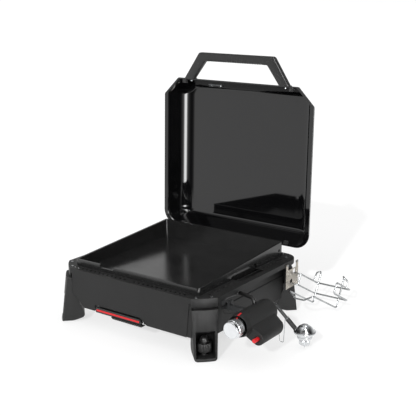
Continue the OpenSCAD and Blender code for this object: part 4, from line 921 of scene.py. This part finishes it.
@dataclass(frozen=True)
class Underside:
    """Sheet parts that close the body: side panels between the legs, flaps and strip behind the front."""

    panel_x: float = 243.5
    panel_y: tuple[float, float] = (66.0, 408.0)
    panel_z: tuple[float, float] = (45.0, 162.0)
    sheet: float = 1.2
    seam_z: float = 118.0
    flap_x: tuple[tuple[float, float], ...] = ((-131.0, -118.6), (52.6, 71.0))
    flap_y: tuple[float, float] = (-26.2, -25.0)
    flap_z: tuple[float, float] = (57.0, 80.0)
    closing_x: tuple[float, float] = (199.0, 221.0)
    closing_y: tuple[float, float] = (-28.8, -27.6)
    closing_z: tuple[float, float] = (57.4, 150.0)

    def build(self, side: int) -> Piece:
        """Draws one side's panel: a pressed sheet with a stiffening fold along it."""
        piece = Piece("side_panel_right" if side > 0 else "side_panel_left")
        z0, z1 = self.panel_z
        x = self.panel_x
        face = np.array([(x - 6, z0), (x - 0.6, z0 + 0.2), (x, z0 + 1.0), (x, self.seam_z - 3),
                         (x - 2.0, self.seam_z), (x - 2.0, z1)])
        back = face - (self.sheet, 0)
        back[0, 1] += self.sheet
        section = np.concatenate([face, back[::-1]]) * (side, 1)
        piece.skin([standing(section, y) for y in self.panel_y])
        return piece

    def flaps(self) -> Piece:
        """Draws the flaps behind the tray's cut-out and the strip that closes the panel to the right leg."""
        piece = Piece("front_panel_flaps")
        sheets = [(x, self.flap_y, self.flap_z) for x in self.flap_x]
        sheets.append((self.closing_x, self.closing_y, self.closing_z))
        for (x0, x1), depth, (z0, z1) in sheets:
            section = rounded([(x0, z0), (x1, z0), (x1, z1), (x0, z1)], [1.0] * 4, 3)
            piece.skin([standing(section, y) for y in depth])
        return piece


def bent(points: Sequence[Sequence[float]], bend: float, steps: int = 8) -> Array:
    """A path through corners with round bends, for rods, tubes and leads."""
    corners = np.array(points, float)
    out = [corners[0]]
    for before, corner, after in zip(corners, corners[1:], corners[2:]):
        back = (before - corner) / np.linalg.norm(before - corner)
        on = (after - corner) / np.linalg.norm(after - corner)
        half = math.acos(float(np.clip(back @ on, -1, 1))) / 2
        reach = bend / math.tan(half)
        for k in range(steps + 1):
            t = k / steps
            start, end = corner + back * reach, corner + on * reach
            out.append((1 - t) ** 2 * start + 2 * t * (1 - t) * corner + t**2 * end)
    out.append(corners[-1])
    return np.array(out)


@dataclass(frozen=True)
class Lead:
    """The igniter's lead: a limp rubber wire from the valve housing to the gas block."""

    corners: tuple[tuple[float, float, float], ...] = (
        (317.0, 98.0, 108.0), (292.0, 98.0, 106.0), (264.0, 64.0, 108.0), (262.0, 50.0, 136.4),
    )
    bend: float = 8.0
    radius: float = 1.2

    def build(self, origin: Array, made: Mapping[str, bpy.types.Material]) -> None:
        """Args:
            origin: the griddle frame's zero in metres.
            made: the materials by name in FINISHES.
        """
        piece = Piece("igniter_lead_wire")
        path = bent(self.corners, self.bend)
        piece.sweep(path, self.radius)
        wire = piece.build(origin, "base", made, ["black_rubber"], ["igniter_lead"])


@dataclass(frozen=True)
class Edge:
    """How a CAD node's sharp edges are broken: the radius and what counts as sharp."""

    radius_mm: float
    above_deg: float = 40.0
    segments: int = 2


EDGES: dict[str, Edge] = {
    "body_shell": Edge(0.35), "griddle_plate": Edge(0.5), "burner_tub": Edge(0.3), "grease_tray": Edge(0.3),
    **{f"leg_{end}_{side}": Edge(1.0) for end in ("front", "rear") for side in ("right", "left")},
    "cylinder_bracket": Edge(0.3), "hinge_brackets": Edge(0.4), "hinge_leaves": Edge(0.4),
    "tray_handle": Edge(0.8), "igniter_button": Edge(1.2), "heat_shield": Edge(0.3), "arm_clip": Edge(0.3),
    "pod_arm": Edge(0.5), "badge_plate": Edge(0.3),
}


def dress_nodes(nodes: Mapping[str, bpy.types.Object], slots: Mapping[str, str],
                made: Mapping[str, bpy.types.Material]) -> None:
    """Gives every CAD node the material of its record slot, and breaks the edges of some.

    Args:
        nodes: the CAD objects by name.
        slots: each node's material slot.
        made: the materials by name in FINISHES.
    """
    for name, obj in nodes.items():
        material = made[slots[name]]
        if obj.material_slots:
            for slot in obj.material_slots:
                slot.link = "OBJECT"
                slot.material = material
        else:
            obj.data.materials.append(material)
        if name in EDGES:
            edge = EDGES[name]
            weld = obj.modifiers.new("weld", "WELD")
            weld.merge_threshold = WELD_M
            bevel = obj.modifiers.new("broken_edges", "BEVEL")
            bevel.width = edge.radius_mm * MM
            bevel.segments = edge.segments
            bevel.limit_method = "ANGLE"
            bevel.angle_limit = math.radians(edge.above_deg)
            bevel.use_clamp_overlap = True
            bevel.harden_normals = True
        LOG.info("%s: %s", name, material.name)


def leg_places(leg_x: float = 246.2, leg_y: float = -5.2, rear_x: float = 237.0, rear_y: float = 441.0,
               out: float = 4.5) -> dict[str, tuple[float, float]]:
    """Where the levelling knobs stand: behind each corner leg's face, on its middle line."""
    step = out / math.sqrt(2)
    return {
        "fr": (leg_x - step, leg_y + step), "fl": (-leg_x + step, leg_y + step),
        "rr": (rear_x - step, rear_y - step), "rl": (-rear_x + step, rear_y - step),
    }


def build_pieces(origin: Array, made: Mapping[str, bpy.types.Material]) -> None:
    """Builds the pieces that stand for CAD nodes, and the sheet parts that close the body.

    Args:
        origin: the griddle frame's zero in metres.
        made: the materials by name in FINISHES.
    """
    lid = Lid()
    lid.shell().build(origin, "lid", made, ["lid_paint"], ["lid_shell"], 40)
    lid.handle().build(origin, "lid", made, ["dark_plastic"], ["lid_handle"], 50)
    for leg, (x, y) in leg_places().items():
        knob = LevelKnob(leg, x, y).build()
        knob.build(origin, f"level_{leg}", made, ["dark_plastic", "zinc_steel"], [f"level_knob_{leg}"], 34)
    for piece, node in zip(ControlKnob().build(), ("knob", "knob_face")):
        piece.build(origin, "control_knob", made, ["chrome"], [node], 34)
    Pod().build().build(origin, "base", made, ["black_plastic"], ["pod_front", "pod_rear"], 30)
    under = Underside()
    for piece in (under.build(-1), under.build(1), under.flaps()):
        piece.build(origin, "base", made, ["body_paint"])
    Regulator().build().build(origin, "base", made, ["cast_chrome"], ["regulator_body", "regulator_dome"], 34,
                              "chrome")
    Lead().build(origin, made)


def main() -> None:
    """Builds the whole scene."""
    logging.basicConfig(level=logging.INFO, format="%(message)s")
    bpy.context.scene.view_settings.view_transform = "Standard"
    low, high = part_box("griddle_plate")
    origin = np.array([(low.x + high.x) / 2, low.y, 0.0])
    Camera().build(origin)
    Studio().build(origin)
    made = {name: finish.build() for name, finish in FINISHES.items()}
    slots = {part["node"]: part["material_slot"] for part in frame["record"]["subparts"]}
    build_pieces(origin, made)
    dress_nodes(frame["nodes"], slots, made)


if __name__ == "__main__":
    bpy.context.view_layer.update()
    main()
